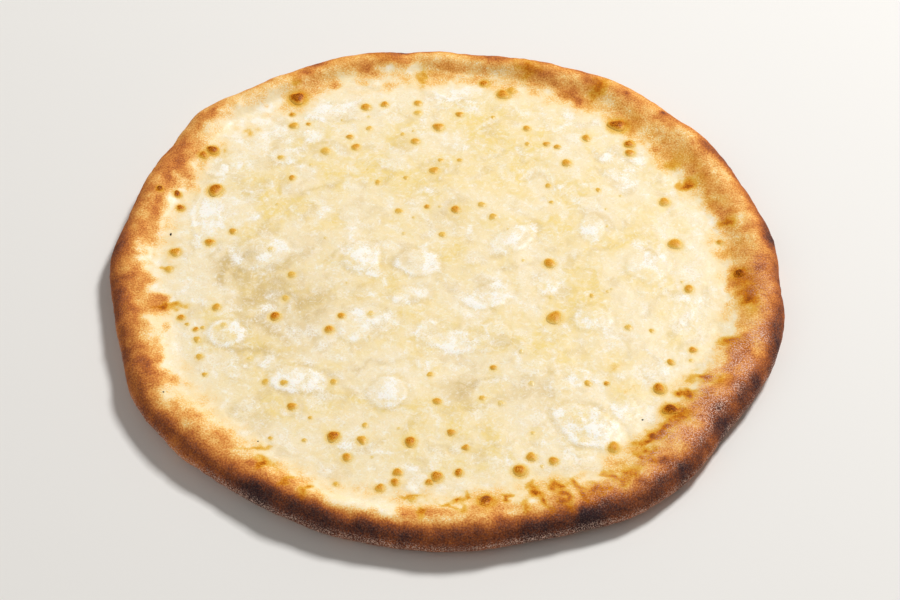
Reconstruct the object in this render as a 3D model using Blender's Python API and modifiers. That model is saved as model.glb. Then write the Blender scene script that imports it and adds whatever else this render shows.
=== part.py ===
"""Megrelian khachapuri: a hand-stretched round cheese bread, 300 mm across.

Two solids lie in each other: the bread, a disc of dough whose puffed rim stands round a
shallow well, and the melted cheese that fills the well, with its baked blisters fused on.
Units are metres and +Z is up. The origin is on the table, under the middle of the bread.
Bearings are degrees turned from +X towards +Y.
"""

import math
import random

import bmesh
import bpy
from mathutils import Vector, noise

MM = 0.001

# The bread as a plain turned shape, before it is stretched by hand.
RIM_RADIUS = 149.0 * MM
RIM_HEIGHT = 16.0 * MM
FOOT_RADIUS = 140.0 * MM
CREST_RADIUS = 140.0 * MM
CORE_HEIGHT = 7.0 * MM
WELL_RADIUS = 119.0 * MM
WELL_FLOOR = 8.5 * MM
BANK_SLOPE = 0.4

# The melted cheese: it rests a hair above the dough, so the two meshes never touch.
CLEARANCE = 0.33 * MM
LIP_RADIUS = 127.6 * MM
LIP_THICKNESS = 0.5 * MM
LIP_HEIGHT = WELL_FLOOR + CLEARANCE + BANK_SLOPE * (LIP_RADIUS - WELL_RADIUS)
CHEESE_LEVEL = 11.5 * MM
CHEESE_CLIMB = LIP_HEIGHT + LIP_THICKNESS - CHEESE_LEVEL
CALM_RADIUS = 110.0 * MM

# Facets: the two solids share their steps, so the gap between them stays even.
STEPS = 144
CHEESE_SPAN = STEPS // 4

# Bulges (+) and dents (-) round the bread: bearing, half width in degrees, size in mm.
OUTLINE_BULGES = (
    (14, 9, 1.0), (40, 10, 2.0), (57, 7, 3.6), (84, 6, -1.0), (98, 8, 2.0),
    (117, 9, 6.2), (139, 7, 8.2), (157, 6, 2.2), (180, 6, 1.4), (194, 8, -2.4),
    (211, 5, 2.2), (230, 6, -0.8), (242, 5, -1.0), (268, 17, 1.2), (303, 7, 4.8),
    (316, 5, 1.2), (327, 6, -1.0), (345, 10, 2.8),
)
# The same for the shore, where the cheese ends on the inner bank of the rim. Only points
# between the two radii below follow it.
SHORE_START = 60.0 * MM
SHORE_END = 143.0 * MM
SHORE_BULGES = (
    (25, 9, -2.5), (62, 12, 1.5), (95, 18, 3.5), (128, 14, 3.5), (152, 8, -1.5),
    (175, 9, 1.5), (191, 6, -2.5), (226, 6, -2.0), (252, 12, 4.0), (277, 6, -1.5),
    (291, 5, -2.0), (322, 14, -3.0), (352, 8, -1.5),
)
# Pinches across the rim, where the dough was folded or has torn.
RIM_CREASES = ((47, 3, 1.2), (97, 3, 2.0), (147, 4, 1.6), (186, 4, 0.9), (233, 4, 1.0), (263, 4, 1.8))

CREASE_PULL = 0.4

RIM_LUMP_LENGTH = 24.0 * MM
RIM_LUMP_SHARE = 0.16
WAVE_LENGTH = 34.0 * MM
WAVE_HEIGHT = 0.45 * MM

# Soft pillows (+) and hollows (-) of the cheese: x, y, half width and height in mm.
PILLOWS = (
    (-41, 8, 10, 1.2), (-12, 2, 9, 1.0), (-84, 14, 9, 1.0), (-67, -66, 8, 0.9),
    (-25, -73, 8, 0.9), (62, -91, 9, 0.9), (-92, -40, 8, 0.8), (94, -1, 8, 0.7),
    (63, -37, 8, 0.7), (20, 33, 8, 0.7), (90, 47, 9, 0.7), (-78, -10, 14, -0.8),
    (-54, -32, 13, -0.5), (8, -40, 12, -0.4), (40, 62, 14, -0.4),
)

# The largest blisters: x, y and diameter in mm.
LARGE_BLISTERS = (
    (-106, 51, 7.0), (-72, 95, 4.6), (-56, 77, 5.2), (-42, 80, 4.4), (-38, 108, 4.8),
    (-14, 84, 4.4), (-3, 94, 5.3), (28, 117, 6.2), (67, 86, 4.4), (57, 69, 4.7),
    (-5, 64, 4.8), (5, 38, 4.6), (82, 95, 7.6), (87, 82, 4.8), (101, 43, 5.2),
    (-121, 11, 5.0), (-106, 17, 4.5), (-68, -3, 4.2), (-74, -28, 4.8), (-50, -36, 4.4),
    (47, 4, 5.4), (48, -29, 7.2), (104, 16, 6.2), (108, -12, 4.4), (-46, -96, 5.4),
    (-34, -98, 4.2), (-14, -99, 5.0), (-3, -117, 4.9), (-26, -120, 4.2), (31, -114, 5.8),
    (91, -70, 5.5), (95, -82, 6.2), (70, -102, 5.0), (-64, -80, 4.2),
)
SMALL_BLISTERS = 36
SMALL_BLISTER_SIZES = (3.0 * MM, 4.2 * MM)
BLISTER_SPACING = 10.0 * MM
BLISTER_RISE = 0.25
BLISTER_EDGE = 1.2 * MM
BLISTER_SIDES = 8
BLISTER_RINGS = 5
SEED = 7

CRUST_COLOUR = 0xC38B55
CHEESE_COLOUR = 0xF7E5BC


def clear_scene():
    for obj in list(bpy.data.objects):
        bpy.data.objects.remove(obj, do_unlink=True)


def add_collection(name):
    collection = bpy.data.collections.new(name)
    bpy.context.scene.collection.children.link(collection)
    return collection


def linear(value):
    """One sRGB channel from 0 to 1 as linear light."""
    return value / 12.92 if value <= 0.04045 else ((value + 0.055) / 1.055) ** 2.4


def make_material(name, colour, roughness):
    material = bpy.data.materials.new(name)
    material.use_nodes = True
    shader = material.node_tree.nodes["Principled BSDF"]
    channels = [linear((colour >> shift & 0xFF) / 255) for shift in (16, 8, 0)]
    shader.inputs["Base Color"].default_value = (*channels, 1.0)
    shader.inputs["Roughness"].default_value = roughness
    shader.inputs["Metallic"].default_value = 0.0
    return material


def ease(value, start, end):
    """0 at start and 1 at end, with a soft S between them."""
    share = min(max((value - start) / (end - start), 0.0), 1.0)
    return share * share * (3.0 - 2.0 * share)


def bulge_at(bearing, bulges):
    """The sum, in metres, of the bulges that reach one bearing."""
    total = 0.0
    for centre, half_width, size in bulges:
        turn = (bearing - centre + 180.0) % 360.0 - 180.0
        total += size * MM * math.exp(-0.5 * (turn / half_width) ** 2)
    return total


def shore_share(radius):
    """How far a point follows the shore: wholly on the bank, and not at the crest."""
    rising = ease(radius, SHORE_START, WELL_RADIUS)
    falling = ease(radius, LIP_RADIUS, SHORE_END)
    return rising * (1.0 - falling)


def stretch(point):
    """A point of the plain turned shape, moved to where it lies on the hand-stretched bread."""
    radius = math.hypot(point.x, point.y)
    if radius < 0.1 * MM:
        return point.copy()
    bearing = math.degrees(math.atan2(point.y, point.x)) % 360.0
    outward = Vector((point.x, point.y, 0.0)) / radius
    height = point.z

    # The rim swells and sinks about its own core, with its foot left flat.
    on_rim = ease(radius, LIP_RADIUS, CREST_RADIUS) * ease(height, 0.0, CORE_HEIGHT)
    lump = RIM_LUMP_SHARE * noise.noise(point / RIM_LUMP_LENGTH) * on_rim
    crease = bulge_at(bearing, RIM_CREASES) * on_rim
    reach = radius + (radius - CREST_RADIUS) * lump - CREASE_PULL * crease
    height += (height - CORE_HEIGHT) * lump - crease * ease(height, CORE_HEIGHT, RIM_HEIGHT)

    reach += bulge_at(bearing, OUTLINE_BULGES) * (radius / RIM_RADIUS) ** 2
    reach += bulge_at(bearing, SHORE_BULGES) * shore_share(radius)
    return outward * reach + Vector((0.0, 0.0, height))


def cheese_relief(point):
    """Height of the pillows, hollows and slow waves of the cheese, fading out at its edge."""
    relief = WAVE_HEIGHT * noise.noise(point / WAVE_LENGTH)
    for x, y, half_width, height in PILLOWS:
        away = math.hypot(point.x - x * MM, point.y - y * MM) / (half_width * MM)
        relief += height * MM * math.exp(-away * away)
    radius = math.hypot(point.x, point.y)
    return relief * (1.0 - ease(radius, CALM_RADIUS, LIP_RADIUS))


def crest_points():
    """The rim from the cheese's shore over its crest and round its belly, as radius and height."""
    shore_height = LIP_HEIGHT - CLEARANCE
    rise = RIM_HEIGHT - shore_height
    bank_width = CREST_RADIUS - LIP_RADIUS
    inner = []
    for share in (0.0, 0.25, 0.5, 0.75, 1.0):
        climbed = rise * math.sin(share * math.pi / 2)
        inner.append((LIP_RADIUS + share * bank_width, shore_height + climbed))
    outer = []
    for angle in (65, 40, 15, -12, -40, -65):
        turn = math.radians(angle)
        half_height = RIM_HEIGHT - CORE_HEIGHT if angle > 0 else CORE_HEIGHT
        across = CREST_RADIUS + (RIM_RADIUS - CREST_RADIUS) * math.cos(turn)
        outer.append((across, CORE_HEIGHT + half_height * math.sin(turn)))
    return inner + outer


def turn_profile(name, points, collection):
    """A closed turned solid from a profile that runs down its outer side, top to bottom."""
    mesh = bpy.data.meshes.new(name)
    edges = [(index, index + 1) for index in range(len(points) - 1)]
    mesh.from_pydata([(radius, 0.0, height) for radius, height in points], edges, [])
    obj = bpy.data.objects.new(name, mesh)
    collection.objects.link(obj)
    screw = obj.modifiers.new("Turn", "SCREW")
    screw.steps = STEPS
    screw.render_steps = STEPS
    screw.use_merge_vertices = True
    screw.merge_threshold = 0.05 * MM
    bpy.context.view_layer.objects.active = obj
    bpy.ops.object.modifier_apply(modifier=screw.name)
    return obj


def move_vertices(obj, rule):
    """Moves each vertex of the object's mesh to the place that the rule gives for it."""
    for vertex in obj.data.vertices:
        vertex.co = rule(vertex.co)
    obj.data.update()


def make_bread(collection, material):
    profile = [(0.0, WELL_FLOOR), (WELL_RADIUS, WELL_FLOOR)]
    profile += crest_points()
    profile += [(FOOT_RADIUS, 0.0), (0.0, 0.0)]
    bread = turn_profile("bread", profile, collection)
    move_vertices(bread, stretch)
    bread.data.materials.append(material)
    bread.data.shade_smooth()
    bread.data.set_sharp_from_angle(angle=math.radians(50))
    return bread


def cheese_top(point):
    """The cheese's upper face over one point: level, then climbing the bank to its lip."""
    share = math.hypot(point.x, point.y) / LIP_RADIUS
    height = CHEESE_LEVEL + CHEESE_CLIMB * share ** 6
    return Vector((point.x, point.y, height + cheese_relief(point)))


def make_cheese_core(collection, material):
    """The cheese without its blisters: a grid-filled disc, drawn down to a flat underside."""
    bpy.ops.mesh.primitive_circle_add(vertices=STEPS, radius=LIP_RADIUS, fill_type="NOTHING")
    cheese = bpy.context.object
    cheese.name = "cheese"
    for owner in list(cheese.users_collection):
        owner.objects.unlink(cheese)
    collection.objects.link(cheese)
    bpy.ops.object.mode_set(mode="EDIT")
    bpy.ops.mesh.select_all(action="SELECT")
    bpy.ops.mesh.fill_grid(span=CHEESE_SPAN)
    bpy.ops.object.mode_set(mode="OBJECT")
    move_vertices(cheese, cheese_top)

    # Below the lip: a thin edge, then the side that lies along the bank, then the underside.
    shell = bmesh.new()
    shell.from_mesh(cheese.data)
    ring = [edge for edge in shell.edges if edge.is_boundary]
    for radius, height in ((LIP_RADIUS, LIP_HEIGHT), (WELL_RADIUS, WELL_FLOOR + CLEARANCE)):
        made = bmesh.ops.extrude_edge_only(shell, edges=ring)["geom"]
        ring = [item for item in made if isinstance(item, bmesh.types.BMEdge)]
        for vertex in {vertex for edge in ring for vertex in edge.verts}:
            outward = Vector((vertex.co.x, vertex.co.y, 0.0)).normalized()
            vertex.co = outward * radius + Vector((0.0, 0.0, height))
    bmesh.ops.contextual_create(shell, geom=ring)
    bmesh.ops.recalc_face_normals(shell, faces=shell.faces)
    shell.to_mesh(cheese.data)
    shell.free()
    move_vertices(cheese, stretch)
    cheese.data.materials.append(material)
    return cheese


def inside_shore(x, y, diameter):
    """The place itself, or the nearest one towards the middle that keeps a blister on the cheese."""
    radius = math.hypot(x, y)
    bearing = math.degrees(math.atan2(y, x)) % 360.0
    outline = bulge_at(bearing, OUTLINE_BULGES) * (LIP_RADIUS / RIM_RADIUS) ** 2
    shore = LIP_RADIUS + outline + bulge_at(bearing, SHORE_BULGES)
    share = min(1.0, (shore - diameter / 2 - BLISTER_EDGE) / radius)
    return x * share, y * share


def blister_places():
    """Place and diameter of each blister, in metres: the large ones, then small ones strewn between."""
    places = []
    for x, y, diameter in LARGE_BLISTERS:
        places.append((*inside_shore(x * MM, y * MM, diameter * MM), diameter * MM))
    draw = random.Random(SEED)
    wanted = len(places) + SMALL_BLISTERS
    while len(places) < wanted:
        # The draw thins out towards the middle, where the cheese stays pale.
        radius = LIP_RADIUS * draw.random() ** 0.4
        bearing = draw.uniform(0.0, 2.0 * math.pi)
        diameter = draw.uniform(*SMALL_BLISTER_SIZES)
        x, y = inside_shore(radius * math.cos(bearing), radius * math.sin(bearing), diameter)
        if all(math.hypot(x - other[0], y - other[1]) > BLISTER_SPACING for other in places):
            places.append((x, y, diameter))
    return places


def fuse_blisters(cheese):
    """Flattened balls, half sunk in the cheese, become one solid with it."""
    blisters = add_collection("blisters")
    bpy.context.view_layer.update()
    down = Vector((0.0, 0.0, -1.0))
    for x, y, diameter in blister_places():
        found, surface, _, _ = cheese.ray_cast(Vector((x, y, 2.0 * RIM_HEIGHT)), down)
        if not found:
            continue
        ball = bmesh.new()
        bmesh.ops.create_uvsphere(
            ball, u_segments=BLISTER_SIDES, v_segments=BLISTER_RINGS, radius=diameter / 2
        )
        bmesh.ops.scale(ball, vec=(1.0, 1.0, 2.0 * BLISTER_RISE), verts=ball.verts)
        bmesh.ops.translate(ball, vec=surface, verts=ball.verts)
        mesh = bpy.data.meshes.new("blister")
        ball.to_mesh(mesh)
        ball.free()
        blisters.objects.link(bpy.data.objects.new("blister", mesh))
    union = cheese.modifiers.new("Blisters", "BOOLEAN")
    union.operation = "UNION"
    union.operand_type = "COLLECTION"
    union.collection = blisters
    bpy.context.view_layer.objects.active = cheese
    bpy.ops.object.modifier_apply(modifier=union.name)
    for obj in list(blisters.objects):
        bpy.data.objects.remove(obj, do_unlink=True)
    bpy.data.collections.remove(blisters)


def main():
    clear_scene()
    khachapuri = add_collection("Megrelian khachapuri")
    crust = make_material("Baked bread crust", CRUST_COLOUR, 0.75)
    melted_cheese = make_material("Melted cheese", CHEESE_COLOUR, 0.35)
    make_bread(khachapuri, crust)
    cheese = make_cheese_core(khachapuri, melted_cheese)
    fuse_blisters(cheese)
    cheese.data.shade_smooth()
    cheese.data.set_sharp_from_angle(angle=math.radians(50))


main()
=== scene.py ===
"""Megrelian khachapuri: the looks of a round cheese bread, 300 mm across.

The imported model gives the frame: a bread with a puffed rim and a layer of melted cheese in its
well. Here both are modelled again at the same sizes with the relief of baked dough and of cheese
that has bubbled, and are dressed with browning, butter and scorch. Lengths are in metres unless a
name or a comment says mm, and bearings are degrees turned from +X towards +Y.
"""

import sys
import logging
import math
import random
from dataclasses import dataclass
from enum import Enum
from typing import Any

import bpy
import numpy as np
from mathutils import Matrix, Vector, noise


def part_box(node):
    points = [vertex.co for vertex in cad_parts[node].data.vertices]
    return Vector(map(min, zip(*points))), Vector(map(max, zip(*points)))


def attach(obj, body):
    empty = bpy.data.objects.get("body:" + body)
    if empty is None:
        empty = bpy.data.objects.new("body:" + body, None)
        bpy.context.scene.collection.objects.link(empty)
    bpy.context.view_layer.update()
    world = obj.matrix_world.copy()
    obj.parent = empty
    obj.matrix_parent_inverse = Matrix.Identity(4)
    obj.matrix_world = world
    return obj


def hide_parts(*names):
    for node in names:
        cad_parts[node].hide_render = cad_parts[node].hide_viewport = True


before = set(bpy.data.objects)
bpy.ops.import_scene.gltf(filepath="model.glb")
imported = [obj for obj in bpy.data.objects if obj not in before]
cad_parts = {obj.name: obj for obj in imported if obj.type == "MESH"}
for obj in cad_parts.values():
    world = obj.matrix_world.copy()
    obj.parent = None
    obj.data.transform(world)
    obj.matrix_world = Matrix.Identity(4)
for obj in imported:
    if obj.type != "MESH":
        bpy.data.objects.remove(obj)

LOG = logging.getLogger("khachapuri")

MM = 0.001
BODY = "root"

Rows = tuple[tuple[float, ...], ...]
Stops = tuple[tuple[float, str], ...]

# Crust patterns are drawn out upwards along the rim's wall, and those of the cheese lie flat.
DRAWN_UP = (1.0, 1.0, 0.4)
FLAT = (1.0, 1.0, 0.0)

# Where a ray starts that looks down for the ground.
ABOVE = 40.0 * MM

# How amber the ground is round a blister: a little, and a share of the blister's own browning. The
# ring fades out at so many times the blister's width.
HALO_FOOT = 0.08
HALO_SHARE = 0.20
HALO_SPREAD = 1.80


class Mark(Enum):
    """The painted fields that the pieces carry for their materials, one number a point."""

    TOAST = "toast"
    AMBER = "amber"
    BUTTER = "butter"
    MILK = "milk"
    GREY_VEIL_AND_SHADE = "grey_veil_and_shade"
    DUST_AND_SHEEN = "dust_and_sheen"
    FRIED = "fried"


class Tone(Enum):
    """How far a blister has baked: its browning, and its rise as a share of its half width."""

    DEEP = (0.66, 0.29)
    DARK = (0.57, 0.29)
    AMBER = (0.44, 0.23)
    PALE = (0.29, 0.15)
    FAINT = (0.16, 0.10)


# ---------------------------------------------------------------------------------------------
# Small helpers


def ease(value: np.ndarray, start: float | np.ndarray, end: float | np.ndarray) -> np.ndarray:
    """Runs from 0 at start to 1 at end with a soft S between them.

    Args:
        value: The numbers to place between start and end.
        start: Where the result is 0.
        end: Where the result is 1; it may be below start.

    Returns:
        A share from 0 to 1 for each number.
    """
    share = np.clip((value - start) / (end - start), 0.0, 1.0)
    return share * share * (3.0 - 2.0 * share)


def lumps(points: np.ndarray, size: float, octaves: int = 1, shift: float = 0.0) -> np.ndarray:
    """Soft noise, mostly between -0.6 and 0.6.

    Args:
        points: Places, one row each.
        size: How wide one lump is, in metres.
        octaves: How many finer layers it has, each half as wide and half as strong.
        shift: Moves the pattern, so that two fields differ.

    Returns:
        One number for each place.
    """
    moved = (points / size + shift).tolist()
    return np.array([noise.fractal(place, 1.0, 2.0, octaves) for place in moved])


@dataclass(frozen=True)
class Clouds:
    """One kind of soft noise: its strength, the width of a lump in mm, its octaves, its pattern."""

    strength: float
    size: float
    octaves: int
    shift: float = 0.0

    def at(self, points: np.ndarray) -> np.ndarray:
        """The noise at each point, on both sides of 0."""
        return self.strength * lumps(points, self.size * MM, self.octaves, self.shift)


def strayed(points: np.ndarray, reach: float, size: float, shifts: tuple[float, float]) -> np.ndarray:
    """Moves places sideways at random, so that what is drawn there has an uneven outline.

    Args:
        points: Places, one row each.
        reach: How far they move where the noise is 1, in metres.
        size: How wide one lump of the noise is, in metres.
        shifts: Its patterns along X and along Y.

    Returns:
        The moved places.
    """
    across, along = (lumps(points * DRAWN_UP, size, 2, shift) for shift in shifts)
    return points + np.column_stack((across, along, np.zeros(len(points)))) * reach


def bearing_of(points: np.ndarray) -> np.ndarray:
    """The bearing of each point from the middle, in degrees from 0 to 360."""
    return np.degrees(np.arctan2(points[:, 1], points[:, 0])) % 360.0


def radius_of(points: np.ndarray) -> np.ndarray:
    """The distance of each point from the upright axis."""
    return np.hypot(points[:, 0], points[:, 1])


def arcs_at(bearing: np.ndarray, arcs: Rows) -> np.ndarray:
    """Adds up the soft arcs that reach each bearing.

    Args:
        bearing: Bearings in degrees.
        arcs: Rows of bearing, half width in degrees and strength.

    Returns:
        The summed strength at each bearing.
    """
    total = np.zeros_like(bearing)
    for centre, half_width, strength in arcs:
        turn = (bearing - centre + 180.0) % 360.0 - 180.0
        total += strength * np.exp(-0.5 * (turn / half_width) ** 2)
    return total


def swell_at(bearing: np.ndarray, swells: Rows) -> np.ndarray:
    """The soft bulges and dents at each bearing, in metres, from rows with a size in mm."""
    return arcs_at(bearing, swells) * MM


def spots_at(points: np.ndarray, spots: Rows) -> np.ndarray:
    """Adds up round soft spots at each point.

    Args:
        points: Places, one row each.
        spots: Rows of x, y and half width in mm, and strength.

    Returns:
        The summed strength at each point.
    """
    total = np.zeros(len(points))
    for x, y, half_width, strength in spots:
        away = np.hypot(points[:, 0] - x * MM, points[:, 1] - y * MM) / (half_width * MM)
        total += strength * np.exp(-away * away)
    return total


def across_oval(
    points: np.ndarray, x: float, y: float, half_length: float, half_width: float, turn: float
) -> tuple[np.ndarray, np.ndarray]:
    """Measures places on a turned oval.

    Args:
        points: Places, one row each.
        x: The oval's middle along X, in mm.
        y: The oval's middle along Y, in mm.
        half_length: Half its length, in mm.
        half_width: Half its width, in mm.
        turn: How far its length is turned from +X, in degrees.

    Returns:
        How far each place lies along the oval and across it, both 1 at its border.
    """
    angle = math.radians(turn)
    across, along = points[:, 0] - x * MM, points[:, 1] - y * MM
    first = (across * math.cos(angle) + along * math.sin(angle)) / (half_length * MM)
    second = (along * math.cos(angle) - across * math.sin(angle)) / (half_width * MM)
    return first, second


def streaks_at(points: np.ndarray, streaks: Rows) -> np.ndarray:
    """Adds up long soft streaks at each point.

    Args:
        points: Places, one row each.
        streaks: Rows of x, y, half length and half width in mm, turn in degrees, and strength.

    Returns:
        The summed strength at each point.
    """
    total = np.zeros(len(points))
    for *oval, strength in streaks:
        first, second = across_oval(points, *oval)
        total += strength * np.exp(-first * first - second * second)
    return total


def read_rows(mesh: bpy.types.Mesh, what: str) -> np.ndarray:
    """Reads a property of a mesh's vertices that has three numbers each.

    Args:
        mesh: The mesh to read.
        what: The property's name.

    Returns:
        One row for each vertex.
    """
    flat = np.empty(len(mesh.vertices) * 3, np.float32)
    mesh.vertices.foreach_get(what, flat)
    return flat.reshape(-1, 3).astype(float)


def points_of(mesh: bpy.types.Mesh) -> np.ndarray:
    """The vertices of a mesh, one row each."""
    return read_rows(mesh, "co")


def normals_of(mesh: bpy.types.Mesh) -> np.ndarray:
    """The vertex normals of a mesh, one row each."""
    return read_rows(mesh, "normal")


def place_points(mesh: bpy.types.Mesh, points: np.ndarray) -> None:
    """Moves the vertices of a mesh to new places.

    Args:
        mesh: The mesh to reshape.
        points: A place for each vertex, one row each.
    """
    mesh.vertices.foreach_set("co", points.astype(np.float32).ravel())
    mesh.update()


def paint(mesh: bpy.types.Mesh, mark: Mark, values: np.ndarray) -> None:
    """Stores one painted field on a mesh.

    Args:
        mesh: The mesh to paint.
        mark: Which field it is.
        values: A number for each vertex, kept between 0 and 1.
    """
    layer = mesh.attributes.new(mark.value, "FLOAT", "POINT")
    layer.data.foreach_set("value", np.clip(values, 0.0, 1.0).astype(np.float32))


def start_circle(name: str, steps: int, radius: float, fill: str = "NOTHING") -> bpy.types.Object:
    """Adds a level circle round the origin and enters edit mode with all of it selected.

    Args:
        name: What the piece is called.
        steps: How many vertices it has.
        radius: Its radius.
        fill: How it is filled.

    Returns:
        The new object.
    """
    bpy.ops.object.select_all(action="DESELECT")
    bpy.ops.mesh.primitive_circle_add(
        vertices=steps, radius=radius, fill_type=fill, location=(0.0, 0.0, 0.0)
    )
    circle = bpy.context.object
    circle.name = circle.data.name = name
    bpy.ops.object.mode_set(mode="EDIT")
    bpy.ops.mesh.select_all(action="SELECT")
    return circle


def draw_ring(height: float, share: float) -> None:
    """Extrudes the selected ring of edges and brings its copy level at a new size.

    Args:
        height: Where the new ring lies.
        share: Its size over that of the ring before.
    """
    bpy.ops.mesh.extrude_edges_move()
    bpy.ops.transform.resize(value=(share, share, 0.0), center_override=(0.0, 0.0, height))


def close_up() -> None:
    """Closes the selected ring with a face, turns all faces outwards and leaves edit mode."""
    bpy.ops.mesh.edge_face_add()
    bpy.ops.mesh.select_all(action="SELECT")
    bpy.ops.mesh.normals_make_consistent(inside=False)
    bpy.ops.object.mode_set(mode="OBJECT")


def join(pieces: list[bpy.types.Object], name: str) -> bpy.types.Object:
    """Joins pieces into one smoothly shaded object.

    Args:
        pieces: The pieces, the first of which takes in the others.
        name: What the joined piece is called.

    Returns:
        The joined piece.
    """
    bpy.ops.object.select_all(action="DESELECT")
    for piece in pieces:
        piece.select_set(True)
    bpy.context.view_layer.objects.active = pieces[0]
    bpy.ops.object.join()
    joined = bpy.context.object
    joined.name = joined.data.name = name
    joined.data.shade_smooth()
    return joined


def height_below(x: float, y: float, ground: tuple[bpy.types.Object, ...]) -> float:
    """Height of the uppermost of some pieces at one place.

    Args:
        x: The place along X.
        y: The place along Y.
        ground: The pieces to look for.

    Returns:
        The height, or 0 where none of them lies.
    """
    top = 0.0
    for piece in ground:
        found, place, _, _ = piece.ray_cast(Vector((x, y, ABOVE)), Vector((0.0, 0.0, -1.0)))
        if found:
            top = max(top, place.z)
    return top


# ---------------------------------------------------------------------------------------------
# Finishes


def hex_colour(code: str) -> tuple[float, float, float, float]:
    """Turns an sRGB hex value into the linear colour that shaders take.

    Args:
        code: Six hex digits.

    Returns:
        Red, green, blue and an alpha of 1.
    """
    channels = [int(code[start:start + 2], 16) / 255.0 for start in (0, 2, 4)]
    linear = [c / 12.92 if c <= 0.04045 else ((c + 0.055) / 1.055) ** 2.4 for c in channels]
    return (*linear, 1.0)


def add_node(
    tree: bpy.types.NodeTree, kind: str, inputs: dict[str | int, Any] | None = None,
    stops: Stops = (), **settings: Any
) -> bpy.types.Node:
    """Adds a node to a material.

    Args:
        tree: The material's nodes.
        kind: The node's type name.
        inputs: Values or output sockets for the node's inputs, by name or number.
        stops: Places from 0 to 1 and their colours, for a node with a colour ramp.
        **settings: Properties of the node itself.

    Returns:
        The new node.
    """
    node = tree.nodes.new(kind)
    for name, value in settings.items():
        setattr(node, name, value)
    for key, value in (inputs or {}).items():
        if isinstance(value, bpy.types.NodeSocket):
            tree.links.new(value, node.inputs[key])
        else:
            node.inputs[key].default_value = value
    if stops:
        elements = node.color_ramp.elements
        elements.remove(elements[1])
        elements[0].position, elements[0].color = stops[0][0], hex_colour(stops[0][1])
        for position, code in stops[1:]:
            elements.new(position).color = hex_colour(code)
    return node


@dataclass(frozen=True)
class BakedTones:
    """Colours that deepen as a place bakes on, laid over what was there before."""

    stops: Stops
    full: float

    def over(
        self, tree: bpy.types.NodeTree, under: bpy.types.NodeSocket, baked: bpy.types.NodeSocket,
        depth: bpy.types.NodeSocket,
    ) -> bpy.types.NodeSocket:
        """Lays the tones over a colour.

        Args:
            tree: The material's nodes.
            under: The socket of the colour where nothing has baked.
            baked: The socket of how far the tones cover each place.
            depth: The socket of how deep the tone of each place is.

        Returns:
            The socket of the new colour.
        """
        tone = add_node(tree, "ShaderNodeValToRGB", {"Fac": depth}, self.stops).outputs["Color"]
        cover = add_node(
            tree, "ShaderNodeMapRange", {"Value": baked, "From Max": self.full},
            interpolation_type="SMOOTHSTEP",
        ).outputs[0]
        return add_node(
            tree, "ShaderNodeMix", {0: cover, 6: under, 7: tone}, data_type="RGBA"
        ).outputs[2]


@dataclass(frozen=True)
class Browning(BakedTones):
    """Dough as it browns in an oven: from pale through gold and nut brown to scorched black."""

    stops: Stops = (
        (0.00, "FAE6B8"), (0.12, "F9DA9A"), (0.26, "F3C06E"), (0.40, "E39A4B"), (0.54, "C67434"),
        (0.68, "99522B"), (0.80, "6E3E2C"), (0.90, "4E302C"), (1.00, "38282B"),
    )
    full: float = 0.24


@dataclass(frozen=True)
class Amber(BakedTones):
    """The skin of a cheese bubble, glazed with fat: from yellow through amber to clear brown."""

    stops: Stops = (
        (0.00, "FBE4AC"), (0.14, "F2D282"), (0.30, "E6B64E"), (0.46, "DFA034"), (0.61, "CB770C"),
        (0.80, "9A4C06"), (1.00, "663206"),
    )
    full: float = 0.22


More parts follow.
